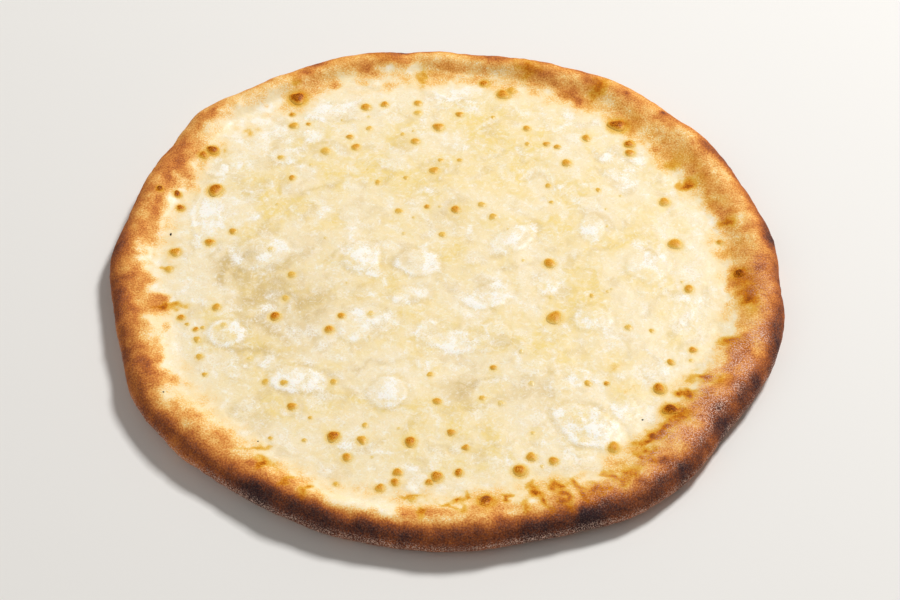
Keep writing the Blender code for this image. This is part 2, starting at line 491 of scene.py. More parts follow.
@dataclass(frozen=True)
class Cream:
    """Melted white cheese and butter: cream, with yellow pools, white films, thin grey places and painted
    shade in folds.
    """

    cream: str = "FAE8C0"
    butter: str = "F5DA8E"
    milk: str = "FFFBF0"
    # The grey of thin places, also used for painted shade in folds and wrinkles.
    grey_veil_and_shade: str = "D8BC80"
    marbling: float = 5.0 * MM
    wisp: float = 2.8 * MM
    # Salt and fat crystals, and the painted glints on them, are finer than the render shows, so their
    # frost is drawn at 0.7 mm.
    frost_and_glint: float = 0.7 * MM

    def over(self, tree: bpy.types.NodeTree, place: bpy.types.NodeSocket) -> bpy.types.NodeSocket:
        """Mixes the pale colours by the fields painted on the piece.

        Args:
            tree: The material's nodes.
            place: The socket of the piece's own coordinates.

        Returns:
            The socket of the colour.
        """
        butter, milk, grey_veil_and_shade = (
            add_node(tree, "ShaderNodeAttribute", attribute_name=mark.value).outputs["Fac"]
            for mark in (Mark.BUTTER, Mark.MILK, Mark.GREY_VEIL_AND_SHADE)
        )
        marbling, wisps, frost_and_glint = (
            add_node(
                tree, "ShaderNodeTexNoise",
                {
                    "Vector": place, "Scale": 1.0 / size, "Detail": detail, "Roughness": fine,
                    "Distortion": swirl,
                },
            ).outputs[0]
            for size, detail, fine, swirl in (
                (self.marbling, 4.0, 0.60, 1.4),
                (self.wisp, 4.0, 0.64, 1.8),
                (self.frost_and_glint, 2.0, 0.5, 0.5),
            )
        )
        swirled, wispy, frosted_and_glinting, clustered, solid, pits = (
            add_node(
                tree, "ShaderNodeMapRange",
                {"Value": value, "From Min": start, "From Max": end, "To Min": low, "To Max": high},
            ).outputs[0]
            for value, start, end, low, high in (
                # Butter lies in swirls, and the white films break up into wisps and a fine frost with
                # painted glints.
                (marbling, 0.35, 0.65, 0.45, 1.45),
                (wisps, 0.48, 0.68, 0.0, 0.60),
                (frost_and_glint, 0.34, 0.68, 0.35, 1.45),
                # The wisps come in clusters, and the core of a film is thick enough to be evenly white.
                (marbling, 0.62, 0.40, 0.25, 1.0),
                (milk, 0.35, 1.0, 0.0, 0.32),
                # Pits between the crystals of the frost let the darker layer through.
                (frost_and_glint, 0.46, 0.32, 0.0, 0.8),
            )
        )
        pooled = add_node(
            tree, "ShaderNodeMath", {0: swirled, 1: butter}, operation="MULTIPLY", use_clamp=True
        ).outputs[0]
        wispy = add_node(
            tree, "ShaderNodeMath", {0: wispy, 1: clustered, 2: solid}, operation="MULTIPLY_ADD"
        ).outputs[0]
        whitened = add_node(
            tree, "ShaderNodeMath", {0: frosted_and_glinting, 1: milk, 2: wispy}, operation="MULTIPLY_ADD",
            use_clamp=True,
        ).outputs[0]
        # Thin wrinkles between the wisps are drawn a little darker and greyer: painted shade in their
        # creases.
        middle = add_node(tree, "ShaderNodeMath", {0: wisps, 1: 0.5}, operation="SUBTRACT").outputs[0]
        away = add_node(tree, "ShaderNodeMath", {0: middle}, operation="ABSOLUTE").outputs[0]
        crease_shade = add_node(
            tree, "ShaderNodeMapRange",
            {"Value": away, "From Max": 0.020, "To Min": 0.36, "To Max": 0.0},
        ).outputs[0]
        pitted = add_node(
            tree, "ShaderNodeMath", {0: pits, 1: milk, 2: crease_shade}, operation="MULTIPLY_ADD"
        ).outputs[0]
        thinned = add_node(
            tree, "ShaderNodeMath", {0: pitted, 1: grey_veil_and_shade}, operation="ADD", use_clamp=True
        ).outputs[0]
        colour = hex_colour(self.cream)
        for share, tint in ((pooled, self.butter), (thinned, self.grey_veil_and_shade), (whitened, self.milk)):
            colour = add_node(
                tree, "ShaderNodeMix", {0: share, 6: colour, 7: hex_colour(tint)}, data_type="RGBA"
            ).outputs[2]
        return colour


@dataclass(frozen=True)
class BakedSurface:
    """What the crust and the cheese share, because they run into each other without a border.

    The real surface is wheat dough under a film of melted cheese. The oven has browned it through,
    so its colour changes softly; its flour leaves a fine grain that only slanting light brings out.
    """

    name: str
    # Flour grain is about 0.2 mm, finer than the render shows, and is drawn at 0.7 and 0.5 mm.
    grain: float = 0.7 * MM
    salt: float = 0.5 * MM
    mottle: float = 5.0 * MM
    curd: float = 1.8 * MM
    # Pale flour dust; the same colour stands for painted sheen on the near right shoulder and painted
    # bounce light on the foot.
    pale_dust_and_sheen: str = "E9C4B0"
    curd_depth: float = 0.22 * MM
    grain_depth: float = 0.40 * MM
    # Light goes a little way into fat and crumb and comes out warmer.
    glow: float = 0.12
    glow_reach: float = 0.8 * MM
    glow_colours: tuple[float, float, float] = (1.0, 0.75, 0.5)

    def material(self) -> bpy.types.Material:
        """Builds the material: cream, browning, grain, dust with painted sheen and bounce light, and
        gloss.
        """
        material = bpy.data.materials.new(self.name)
        material.use_nodes = True
        tree = material.node_tree
        shader = tree.nodes["Principled BSDF"]
        place = add_node(tree, "ShaderNodeTexCoord").outputs["Object"]
        toast, amber, dust_and_sheen, milk, fried = (
            add_node(tree, "ShaderNodeAttribute", attribute_name=mark.value).outputs["Fac"]
            for mark in (Mark.TOAST, Mark.AMBER, Mark.DUST_AND_SHEEN, Mark.MILK, Mark.FRIED)
        )
        grain, salt, mottle, curd = (
            add_node(
                tree, "ShaderNodeTexNoise", {"Vector": place, "Scale": 1.0 / size, "Detail": detail}
            ).outputs[0]
            for size, detail in (
                (self.grain, 2.0), (self.salt, 0.0), (self.mottle, 3.0), (self.curd, 2.0),
            )
        )

        even, speckle, patch, freckled, baked, grains, film = (
            add_node(
                tree, "ShaderNodeMapRange",
                {"Value": value, "From Min": start, "From Max": end, "To Min": low, "To Max": high},
            ).outputs[0]
            for value, start, end, low, high in (
                # Browning is uneven: most at its border, where single grains have caught the heat.
                (toast, 0.20, 0.60, 1.0, 0.60),
                (grain, 0.0, 1.0, -0.44, 0.44),
                (mottle, 0.0, 1.0, -0.16, 0.16),
                (salt, 0.2, 0.8, 0.70, 1.30),
                # Flour dust and burst skin show as pale grains on what has browned; they also stand for
                # painted glints.
                (toast, 0.35, 0.7, 0.0, 0.10),
                (salt, 0.46, 0.78, 0.0, 1.0),
                # A white film is glossier than the cheese round it.
                (milk, 0.0, 1.0, 0.36, 0.28),
            )
        )

        begun = add_node(
            tree, "ShaderNodeMapRange", {"Value": toast, "From Max": 0.36}, interpolation_type="SMOOTHSTEP"
        ).outputs[0]
        reach = add_node(tree, "ShaderNodeMath", {0: begun, 1: even}, operation="MULTIPLY").outputs[0]
        uneven = add_node(tree, "ShaderNodeMath", {0: speckle, 1: patch}, operation="ADD").outputs[0]
        browned = add_node(
            tree, "ShaderNodeMath", {0: uneven, 1: reach, 2: toast}, operation="MULTIPLY_ADD"
        ).outputs[0]
        colour = Browning().over(tree, Cream().over(tree, place), browned, browned)

        # Where butter has run under the rim it fries, which turns the same browning yellower.
        glazed = add_node(
            tree, "ShaderNodeMath", {0: amber, 1: freckled}, operation="MULTIPLY"
        ).outputs[0]
        unbrowned = add_node(
            tree, "ShaderNodeMath", {0: 1.0, 1: browned}, operation="SUBTRACT"
        ).outputs[0]
        deepest = add_node(
            tree, "ShaderNodeMath", {0: unbrowned, 1: glazed, 2: browned}, operation="MULTIPLY_ADD"
        ).outputs[0]
        buttery = add_node(
            tree, "ShaderNodeMath", {0: browned, 1: fried, 2: glazed}, operation="MULTIPLY_ADD"
        ).outputs[0]
        colour = Amber().over(tree, colour, buttery, deepest)

        # The same pale grains carry the painted sheen on the near right shoulder and the painted bounce
        # light on the foot.
        flour_and_sheen = add_node(tree, "ShaderNodeMath", {0: baked, 1: dust_and_sheen}, operation="ADD").outputs[0]
        dust_and_sheen_share = add_node(
            tree, "ShaderNodeMath", {0: grains, 1: flour_and_sheen}, operation="MULTIPLY", use_clamp=True
        ).outputs[0]
        colour = add_node(
            tree, "ShaderNodeMix", {0: dust_and_sheen_share, 6: colour, 7: hex_colour(self.pale_dust_and_sheen)}, data_type="RGBA"
        ).outputs[2]

        # Cheese is moist and softly wrinkled, and the crust is as grainy as it is browned.
        soft = add_node(
            tree, "ShaderNodeMath", {0: mottle, 1: 1.5, 2: curd}, operation="MULTIPLY_ADD"
        ).outputs[0]
        wrinkled = add_node(
            tree, "ShaderNodeBump", {"Strength": 0.4, "Distance": self.curd_depth, "Height": soft}
        ).outputs[0]
        rough = add_node(tree, "ShaderNodeMath", {0: grain, 1: toast}, operation="MULTIPLY").outputs[0]
        floury = add_node(
            tree, "ShaderNodeBump",
            {"Strength": 0.7, "Distance": self.grain_depth, "Height": rough, "Normal": wrinkled},
        ).outputs[0]

        # Fat dries off as the surface bakes, so gloss and sheen fade together.
        dried = add_node(
            tree, "ShaderNodeMath", {0: amber, 1: 0.14, 2: film}, operation="MULTIPLY_ADD"
        ).outputs[0]
        matt = add_node(
            tree, "ShaderNodeMath", {0: toast, 1: 0.8, 2: dried}, operation="MULTIPLY_ADD"
        ).outputs[0]
        skinned = add_node(
            tree, "ShaderNodeMath", {0: amber, 1: 0.8, 2: toast}, operation="MULTIPLY_ADD"
        ).outputs[0]
        sheen = add_node(
            tree, "ShaderNodeMapRange",
            {"Value": skinned, "From Max": 0.4, "To Min": 0.32, "To Max": 0.08},
        ).outputs[0]
        for name, socket in (
            ("Base Color", colour), ("Normal", floury), ("Roughness", matt), ("Specular IOR Level", sheen),
        ):
            tree.links.new(socket, shader.inputs[name])
        shader.inputs["Subsurface Weight"].default_value = self.glow
        shader.inputs["Subsurface Radius"].default_value = self.glow_colours
        shader.inputs["Subsurface Scale"].default_value = self.glow_reach
        return material


@dataclass(frozen=True)
class BakedCrust(BakedSurface):
    """Oven-baked wheat crust: matt and finely grained, pale where the cheese has run over it."""

    name: str = "oven-baked wheat crust"


@dataclass(frozen=True)
class MeltedCheese(BakedSurface):
    """Melted brined cheese with butter: creamy, slightly see-through, softly glossy."""

    name: str = "melted cheese with butter"


@dataclass(frozen=True)
class PlainFinish:
    """A finish of one colour and one gloss all over."""

    name: str
    colour: str
    roughness: float

    def material(self) -> bpy.types.Material:
        """Builds the material."""
        material = bpy.data.materials.new(self.name)
        material.use_nodes = True
        shader = material.node_tree.nodes["Principled BSDF"]
        shader.inputs["Base Color"].default_value = hex_colour(self.colour)
        shader.inputs["Roughness"].default_value = self.roughness
        return material


@dataclass(frozen=True)
class CharredCrumb(PlainFinish):
    """A crumb of flour burnt to charcoal: matt black that swallows the light."""

    name: str = "charred flour crumb"
    colour: str = "241A16"
    roughness: float = 0.85


@dataclass(frozen=True)
class PaleTable(PlainFinish):
    """Melamine laminate pressed matt, under the bread: pale and even, without a reflection."""

    name: str = "matt pale laminate"
    colour: str = "E9E7E3"
    roughness: float = 0.7


# ---------------------------------------------------------------------------------------------
# The form that bread and cheese share


@dataclass(frozen=True)
class DoughForm:
    """The hand-stretched round: a plain turned shape and how each of its points is moved.

    The rows give bearing and half width in degrees, and in mm how far the bread's edge and the
    shore of its cheese lie further out there and how deep a crease is.
    """

    rim_radius: float = 149.0 * MM
    rim_height: float = 16.0 * MM
    foot_radius: float = 140.0 * MM
    crest_radius: float = 140.0 * MM
    core_height: float = 7.0 * MM
    well_radius: float = 119.0 * MM
    well_floor: float = 8.5 * MM
    bank_slope: float = 0.4
    lip_radius: float = 127.6 * MM
    level: float = 11.6 * MM
    blend: float = 1.5 * MM
    shore_radius: float = 129.5 * MM
    shore_start: float = 60.0 * MM
    shore_end: float = 143.0 * MM
    lump_length: float = 24.0 * MM
    lump_share: float = 0.16
    crease_pull: float = 0.4
    outline: Rows = (
        (14, 9, 1.0), (40, 10, 2.0), (57, 7, 3.6), (84, 6, -1.0), (98, 8, 2.0), (117, 9, 6.2),
        (139, 7, 8.2), (157, 6, 2.2), (180, 6, 1.4), (194, 8, -2.4), (211, 5, 2.2), (230, 6, -0.8),
        (242, 5, -1.0), (268, 17, 1.2), (303, 7, 4.8), (316, 5, 1.2), (327, 6, -1.0), (345, 10, 2.8),
    )
    shore: Rows = (
        (25, 9, -2.5), (62, 12, 1.5), (95, 18, 3.5), (128, 14, 3.5), (152, 8, -1.5), (175, 9, 1.5),
        (191, 6, -2.5), (226, 6, -2.0), (252, 12, 4.0), (277, 6, -1.5), (291, 5, -2.0), (322, 14, -3.0),
        (352, 8, -1.5),
    )
    creases: Rows = (
        (47, 3, 1.2), (97, 3, 2.0), (147, 4, 1.6), (186, 4, 0.9), (233, 4, 1.0), (263, 4, 1.8),
    )

    @property
    def shore_height(self) -> float:
        """Height of the dough under the cheese's lip."""
        return self.well_floor + self.bank_slope * (self.lip_radius - self.well_radius)

    def bank(self, radius: np.ndarray) -> np.ndarray:
        """Height of the dough from the well up to the rim's crest.

        Args:
            radius: Distances from the middle on the plain shape.

        Returns:
            The height at each distance.
        """
        slope = self.well_floor + self.bank_slope * (radius - self.well_radius)
        share = np.clip((radius - self.lip_radius) / (self.crest_radius - self.lip_radius), 0.0, 1.0)
        climb = 0.5 * np.sin(share * math.pi / 2) + 0.5 * ease(share, 0.0, 1.0)
        rise = (self.rim_height - self.shore_height) * climb
        return np.where(radius < self.lip_radius, slope, self.shore_height + rise)

    def surface(self, radius: np.ndarray) -> np.ndarray:
        """Height of what shows: the level melted layer, running up smoothly into the bank.

        Args:
            radius: Distances from the middle on the plain shape.

        Returns:
            The height at each distance.
        """
        bank = self.bank(radius)
        merge = np.maximum(self.blend - np.abs(bank - self.level), 0.0) ** 2 / (4.0 * self.blend)
        return np.maximum(bank, self.level) + merge

    def shore_share(self, radius: np.ndarray) -> np.ndarray:
        """How far points follow the shore: wholly on the bank, and not beyond the crest."""
        rising = ease(radius, self.shore_start, self.well_radius)
        return rising * (1.0 - ease(radius, self.lip_radius, self.shore_end))

    def edge_at(self, bearing: np.ndarray) -> np.ndarray:
        """Radius of the bread's outer edge at each bearing."""
        return self.rim_radius + swell_at(bearing, self.outline)

    def stretch(self, points: np.ndarray) -> np.ndarray:
        """Moves points of the plain turned shape to where they lie on the real bread.

        Args:
            points: Places on the plain shape, one row each.

        Returns:
            Places on the hand-stretched bread.
        """
        radius = np.maximum(radius_of(points), 0.1 * MM)
        bearing = bearing_of(points)
        height = points[:, 2]
        on_rim = ease(radius, self.lip_radius, self.crest_radius) * ease(height, 0.0, self.core_height)
        bare = (points / self.lump_length).tolist()
        lump = self.lump_share * np.array([noise.noise(place) for place in bare]) * on_rim
        crease = swell_at(bearing, self.creases) * on_rim
        reach = radius + (radius - self.crest_radius) * lump - self.crease_pull * crease
        height = height + (height - self.core_height) * lump
        height -= crease * ease(points[:, 2], self.core_height, self.rim_height)
        reach += swell_at(bearing, self.outline) * (radius / self.rim_radius) ** 2
        reach += swell_at(bearing, self.shore) * self.shore_share(radius)
        scale = reach / radius
        return np.column_stack((points[:, 0] * scale, points[:, 1] * scale, height))


# ---------------------------------------------------------------------------------------------
# The bake: where the oven browned the round


@dataclass(frozen=True)
class Bake:
    """How far each place of the bread has browned, by its bearing and its depth in from the edge."""

    form: DoughForm
    # How far in from the edge the gold reaches, and arcs where it reaches further: bearing, half
    # width in degrees, and mm.
    reach: float = 15.5 * MM
    reaches: Rows = (
        (357, 9, 7), (20, 5, 3), (33, 7, 12), (44, 4, 5), (58, 8, 10), (97, 4, -3), (108, 4, 2),
        (118, 4, 5), (130, 5, -4), (146, 4, 3), (157, 6, 3), (184, 7, 4), (190, 3, 3), (203, 4, -1),
        (220, 3, -3), (226, 3, 6), (235, 4, -1), (243, 5, 3), (250, 4, -2), (256, 6, -6), (266, 3, 4),
        (272, 3, -2), (277, 3, 2), (292, 8, 1), (309, 4, 2), (316, 4, 3), (324, 12, 5), (342, 7, 3),
        (175, 6, 3),
    )
    # How golden it is there, and arcs where it is more or less so.
    gold: float = 0.41
    golds: Rows = (
        (354, 8, 0.06), (24, 12, -0.02), (50, 5, -0.10), (66, 4, 0.04), (83, 10, -0.13), (93, 5, 0.03),
        (107, 5, 0.05), (118, 6, -0.06), (127, 4, -0.06), (138, 10, -0.06), (147, 4, 0.06),
        (157, 6, 0.04), (174, 5, -0.02), (182, 8, 0.05), (205, 5, 0.06), (223, 5, -0.04),
        (242, 5, 0.04), (320, 10, 0.06), (338, 14, 0.06), (270, 6, -0.06),
    )
    # How dark the edge is, and arcs where it is darker or lighter.
    edge: float = 0.57
    edges: Rows = (
        (262, 40, 0.28), (8, 5, 0.08), (30, 12, 0.08), (70, 10, 0.08), (95, 9, 0.10), (50, 8, -0.18),
        (60, 6, -0.04), (95, 24, -0.02), (133, 8, -0.22), (145, 8, -0.06), (160, 8, -0.10),
        (178, 9, 0.14), (192, 6, -0.08), (225, 8, -0.08), (242, 5, 0.08), (269, 7, -0.12),
        (286, 10, 0.04), (303, 6, 0.02), (312, 6, -0.08), (336, 14, 0.13), (352, 10, 0.08),
    )
    # The pale gold that runs in over the cheese, and arcs where there is more or less of it.
    haze: float = 0.12
    hazes: Rows = (
        (3, 8, 0.07), (14, 8, 0.07), (35, 14, 0.16), (58, 8, 0.03), (85, 16, 0.05), (102, 6, 0.05),
        (119, 6, 0.03), (138, 7, 0.02), (192, 8, -0.05), (232, 6, -0.02), (274, 6, 0.03),
        (296, 9, 0.05), (330, 16, 0.02),
    )
    # Scorched and paler spots: x, y and half width in mm, and how much darker or paler.
    spots: Rows = (
        (-85, -117, 4.5, 0.06), (-73, -125, 7.0, 0.08), (-94, -97, 4.5, 0.10), (0, -148, 7.0, 0.06),
        (36, -144, 4.6, 0.12), (58, -137, 4.4, 0.18), (133, -66, 3.6, 0.10), (117, -91, 4.4, 0.20),
        (98, -115, 4.0, 0.12), (105, -101, 4.5, 0.12), (95, -82, 4.2, 0.11), (90, -113, 3.0, 0.22),
        (126, -73, 3.2, 0.08), (144, -44, 3.4, 0.12), (80, -123, 3.4, 0.08), (146, 16, 3.6, 0.16),
        (-125, -26, 3.0, 0.22), (-128, 60, 5.5, 0.06), (69, 122, 4.0, 0.14), (75, 120, 3.0, 0.12),
        (122, 75, 4.0, 0.10), (129, 28, 3.0, 0.08), (104, 101, 1.8, 0.36), (87, 114, 1.8, 0.18),
        (-71, 123, 3.2, 0.12), (65, 112, 3.0, 0.14), (23, 136, 7.0, 0.20), (-20, 147, 1.8, 0.30),
        (-23, -136, 3.0, -0.20), (-134, 7, 6.0, -0.22), (71, -121, 4.0, -0.20), (-137, -46, 3.0, -0.14),
        (139, 8, 4.0, -0.12), (129, 58, 5.0, -0.08), (99, 82, 5.0, -0.12), (115, 81, 6.0, -0.12),
        (120, 43, 6.0, -0.16), (124, 16, 4.0, -0.10), (122, -38, 5.0, -0.18), (116, -76, 4.0, -0.08),
        (80, -117, 3.4, -0.14), (119, 63, 5.0, -0.08), (-6, -138, 4.0, 0.14), (-16, -139, 4.0, 0.20),
        (23, -141, 3.5, 0.12), (46, -132, 4.0, 0.16), (96, -99, 4.0, 0.08), (131, -49, 4.0, 0.10),
        (139, 0, 3.5, -0.14), (89, -110, 3.5, 0.12), (-59, -121, 4.0, 0.14), (36, -132, 2.0, -0.18),
        (-136, 30, 4.0, -0.10), (-118, -82, 4.0, -0.14), (-128, -12, 5.0, -0.12),
    )
    # Tongues of gold that run in over the cheese: x, y, half length and half width in mm, turn in
    # degrees, and strength.
    tongues: Rows = (
        (124, -45, 6, 3.0, 150, 0.42), (111, -65, 7, 3.0, 165, 0.48), (102, -74, 6, 2.5, 150, 0.44),
        (99, -85, 5, 3.0, 140, 0.36), (92, -92, 8, 2.5, 40, 0.50), (84, -99, 6, 2.5, 30, 0.46),
        (36, -125, 4.0, 1.7, 100, 0.52), (46, -123, 3.4, 2.8, 120, 0.60),
        (33, -135, 4.0, 2.2, 90, 0.36), (41, -133, 5.5, 1.3, 112, 0.46),
        (49, -131, 5.0, 2.4, 104, 0.40), (55, -126, 6.5, 1.5, 120, 0.52),
        (62, -126, 3.5, 2.6, 100, 0.40), (69, -119, 5.0, 1.7, 128, 0.46),
        (66, -127, 2.6, 1.4, 30, 0.40), (77, -117, 2.4, 3.4, 110, 0.42),
        (83, -110, 4.5, 1.4, 136, 0.42), (73, -123, 3.0, 1.2, 70, 0.36), (17, -131, 4.2, 2.0, 95, 0.60),
        (25, -130, 2.6, 1.8, 100, 0.46), (8, -137, 4.0, 1.3, 92, 0.34), (-9, -137, 5.0, 1.6, 86, 0.36),
        (84, -106, 3, 2, 30, 0.40), (135, -22, 3, 6, 10, 0.30), (-64, -122, 4, 1.6, 62, 0.34),
        (-56, -126, 4, 2.0, 66, 0.34), (-76, -113, 4, 1.6, 56, 0.30), (-73, -111, 3, 4.0, 60, 0.36),
        (-78, -103, 7, 1.4, 10, 0.26), (-13, -128, 5, 1.2, 0, 0.28), (-120, -23, 7, 2.2, 5, 0.40),
        (-97, 0, 6, 1.4, 82, 0.10), (-123, 1, 4, 1.6, 0, 0.28), (-11, 129, 2.5, 7, 0, 0.20),
        (40, 132, 5, 6, 0, 0.20), (-73, 124, 3, 3, 10, 0.20), (5, -130, 5, 1.2, 35, 0.26),
        (2, -134, 5, 1.1, 150, 0.28), (9, -128, 3, 1.1, 80, 0.22), (79, -70, 5, 4, 0, 0.13),
        (72, -57, 4, 5, 0, 0.13), (129, 28, 3.8, 2.0, 12, 0.40), (-92, 90, 4, 3, 60, 0.16),
        (-104, 76, 3, 4, 20, 0.16), (75, 119, 8, 3, 60, 0.30), (112, 54, 4.2, 2.8, 28, 0.44),
        (106, 66, 3, 3, 30, 0.20), (133, -15, 4, 8, 0, 0.26), (91, -97, 4, 2, 40, 0.40),
    )
    # How far the tongues' outline strays, how softly the gold ends, and how deep edge and haze are.
    stray: float = 2.6 * MM
    fade: float = 14.0 * MM
    edge_depth: float = 9.2 * MM
    haze_depth: float = 39.0 * MM
    foot_paling: float = 0.10
    base_toast: float = 0.42
    # Where butter has fried the rim from inside, and over the back: bearing, half width, strength.
    fried_inside: Rows = ((298, 14, 0.20), (25, 40, 0.20))
    fried_back: Rows = ((96, 26, 0.12),)
    # Flour dust and painted sheen on the rim's near right shoulder: bearing, half width in degrees,
    # strength.
    dust_and_sheen_arcs: Rows = ((324, 18, 1.5),)
    # Noise makes the browning uneven: how far in the gold reaches, its clouds and mottling, the
    # haze, the marks, the wall, the base, the frying, and the dust with its painted sheen and bounce
    # light.
    wobble: Clouds = Clouds(7.0 * MM, 9.0, 2, 5.0)
    clouds: Clouds = Clouds(0.24, 17.0, 2, 11.0)
    mottle: Clouds = Clouds(0.12, 5.0, 1, 23.0)
    wisps: Clouds = Clouds(1.2, 10.0, 3, 89.0)
    singe: Clouds = Clouds(0.8, 3.0, 2, 47.0)
    wall_clouds: Clouds = Clouds(1.0, 12.0, 2, 53.0)
    base_clouds: Clouds = Clouds(0.30, 26.0, 4, 31.0)
    base_patches: Clouds = Clouds(0.20, 60.0, 2, 37.0)
    frying: Clouds = Clouds(1.0, 9.0, 2, 97.0)
    shoulder_dust_and_sheen: Clouds = Clouds(1.4, 9.0, 2, 3.0)
    foot_dust_and_bounce: Clouds = Clouds(1.0, 8.0, 2, 19.0)

    def depth(self, points: np.ndarray) -> np.ndarray:
        """How far in from the bread's edge each place lies, seen from above."""
        return self.form.edge_at(bearing_of(points)) - radius_of(points)

    def toast(self, points: np.ndarray, normals: np.ndarray | None = None) -> np.ndarray:
        """Works out the browning of places on the real bread.

        Args:
            points: Places on the stretched bread, one row each.
            normals: Which way each place faces, for the rim's wall and the underside.

        Returns:
            0 for pale to 1 for burnt, one number for each place.
        """
        bearing = bearing_of(points)
        depth = self.depth(points)
        drawn = points * DRAWN_UP
        start = self.reach + swell_at(bearing, self.reaches) + self.wobble.at(drawn)
        gold = self.gold + arcs_at(bearing, self.golds)
        dark = self.edge + arcs_at(bearing, self.edges)
        near = ease(depth, start + 0.5 * self.fade, start - 0.5 * self.fade)
        rim = ease(depth, self.edge_depth, 1.5 * MM)
        toast = near * gold + rim * (dark - gold)
        # The oven's heat comes round the edge, so its clouds lie along it.
        along = (150.0 * MM - 1.7 * depth) / np.maximum(radius_of(points), 1.0 * MM)
        cloud = self.clouds.at(drawn * along[:, None]) + self.mottle.at(drawn)
        toast += near * (1.0 - 0.4 * rim) * cloud
        haze = (self.haze + arcs_at(bearing, self.hazes)) * (1.0 + self.wisps.at(drawn))
        toast = np.maximum(toast, haze * ease(depth, self.haze_depth, 0.5 * self.haze_depth))
        marks = spots_at(points, self.spots) + 0.3 * (1.0 - near) * self.tongues_at(points)
        toast += (1.0 + self.singe.at(drawn)) * marks
        if normals is None:
            return np.clip(toast, 0.0, 1.0)
        # Down the wall the crust pales towards its foot, and the base is baked evenly.
        wall = ease(points[:, 2], 8.0 * MM, 1.5 * MM)
        toast *= 1.0 - self.foot_paling * wall * (0.8 + self.wall_clouds.at(drawn))
        base = self.base_toast + self.base_clouds.at(points) + np.abs(self.base_patches.at(points))
        under = ease(-normals[:, 2], 0.5, 0.95) * (points[:, 2] < 1.5 * MM)
        return np.clip(toast * (1.0 - under) + base * under, 0.0, 1.0)

    def tongues_at(self, points: np.ndarray) -> np.ndarray:
        """How far each place lies in a tongue of gold, with an uneven outline."""
        return streaks_at(strayed(points, self.stray, 5.0 * MM, (113.0, 127.0)), self.tongues)

    def glaze(self, points: np.ndarray) -> np.ndarray:
        """How amber the tongues are where fat has fried the cheese, one number for each place."""
        return 1.1 * (1.0 + self.singe.at(points * DRAWN_UP)) * self.tongues_at(points)

    def fried(self, points: np.ndarray) -> np.ndarray:
        """How far butter has fried the rim rather than baked it, one number for each place."""
        bearing = bearing_of(points)
        inside = ease(self.depth(points), 9.0 * MM, 17.0 * MM) * arcs_at(bearing, self.fried_inside)
        back = arcs_at(bearing, self.fried_back) * ease(points[:, 2], 6.0 * MM, 10.0 * MM)
        return np.maximum(inside, back) * (1.0 + self.frying.at(points))

    def dust_and_sheen(self, points: np.ndarray) -> np.ndarray:
        """Flour dust with painted sheen on the rim's near right, and with painted bounce light on its
        foot, one number for each place.
        """
        depth = self.depth(points)
        band = ease(depth, 2.0 * MM, 8.0 * MM) * ease(depth, 24.0 * MM, 14.0 * MM)
        pale_dust_and_sheen = arcs_at(bearing_of(points), self.dust_and_sheen_arcs) * band
        foot = ease(points[:, 2], 11.0 * MM, 4.0 * MM)
        # The near right shoulder gets dust and painted sheen, the foot pale dust and painted bounce light.
        return np.maximum(
            pale_dust_and_sheen * (0.6 + self.shoulder_dust_and_sheen.at(points)), foot * (1.7 + self.foot_dust_and_bounce.at(points))
        )

    def paint_on(
        self, mesh: bpy.types.Mesh, points: np.ndarray, toast: np.ndarray, amber: np.ndarray
    ) -> None:
        """Paints the browning, the glaze, the dust with its painted sheen and bounce light, and the frying
        on a piece.

        Args:
            mesh: The finished form of the bread or the cheese.
            points: Its places, one row each.
            toast: How far each place has browned.
            amber: How amber each place is.
        """
        paint(mesh, Mark.TOAST, toast)
        paint(mesh, Mark.AMBER, amber)
        paint(mesh, Mark.DUST_AND_SHEEN, self.dust_and_sheen(points))
        paint(mesh, Mark.FRIED, self.fried(points))


# ---------------------------------------------------------------------------------------------
# The pieces


def scattered(draw: random.Random, reach: float) -> tuple[float, float]:
    """Draws one place at random in a round.

    Args:
        draw: The seeded draw.
        reach: The round's radius, in mm.

    Returns:
        Its x and y, in mm.
    """
    bearing, radius = draw.uniform(0.0, 2.0 * math.pi), reach * math.sqrt(draw.random())
    return radius * math.cos(bearing), radius * math.sin(bearing)


@dataclass(frozen=True)
class Blister:
    """One baked bubble of the cheese."""

    x: float
    y: float
    diameter: float
    tone: Tone


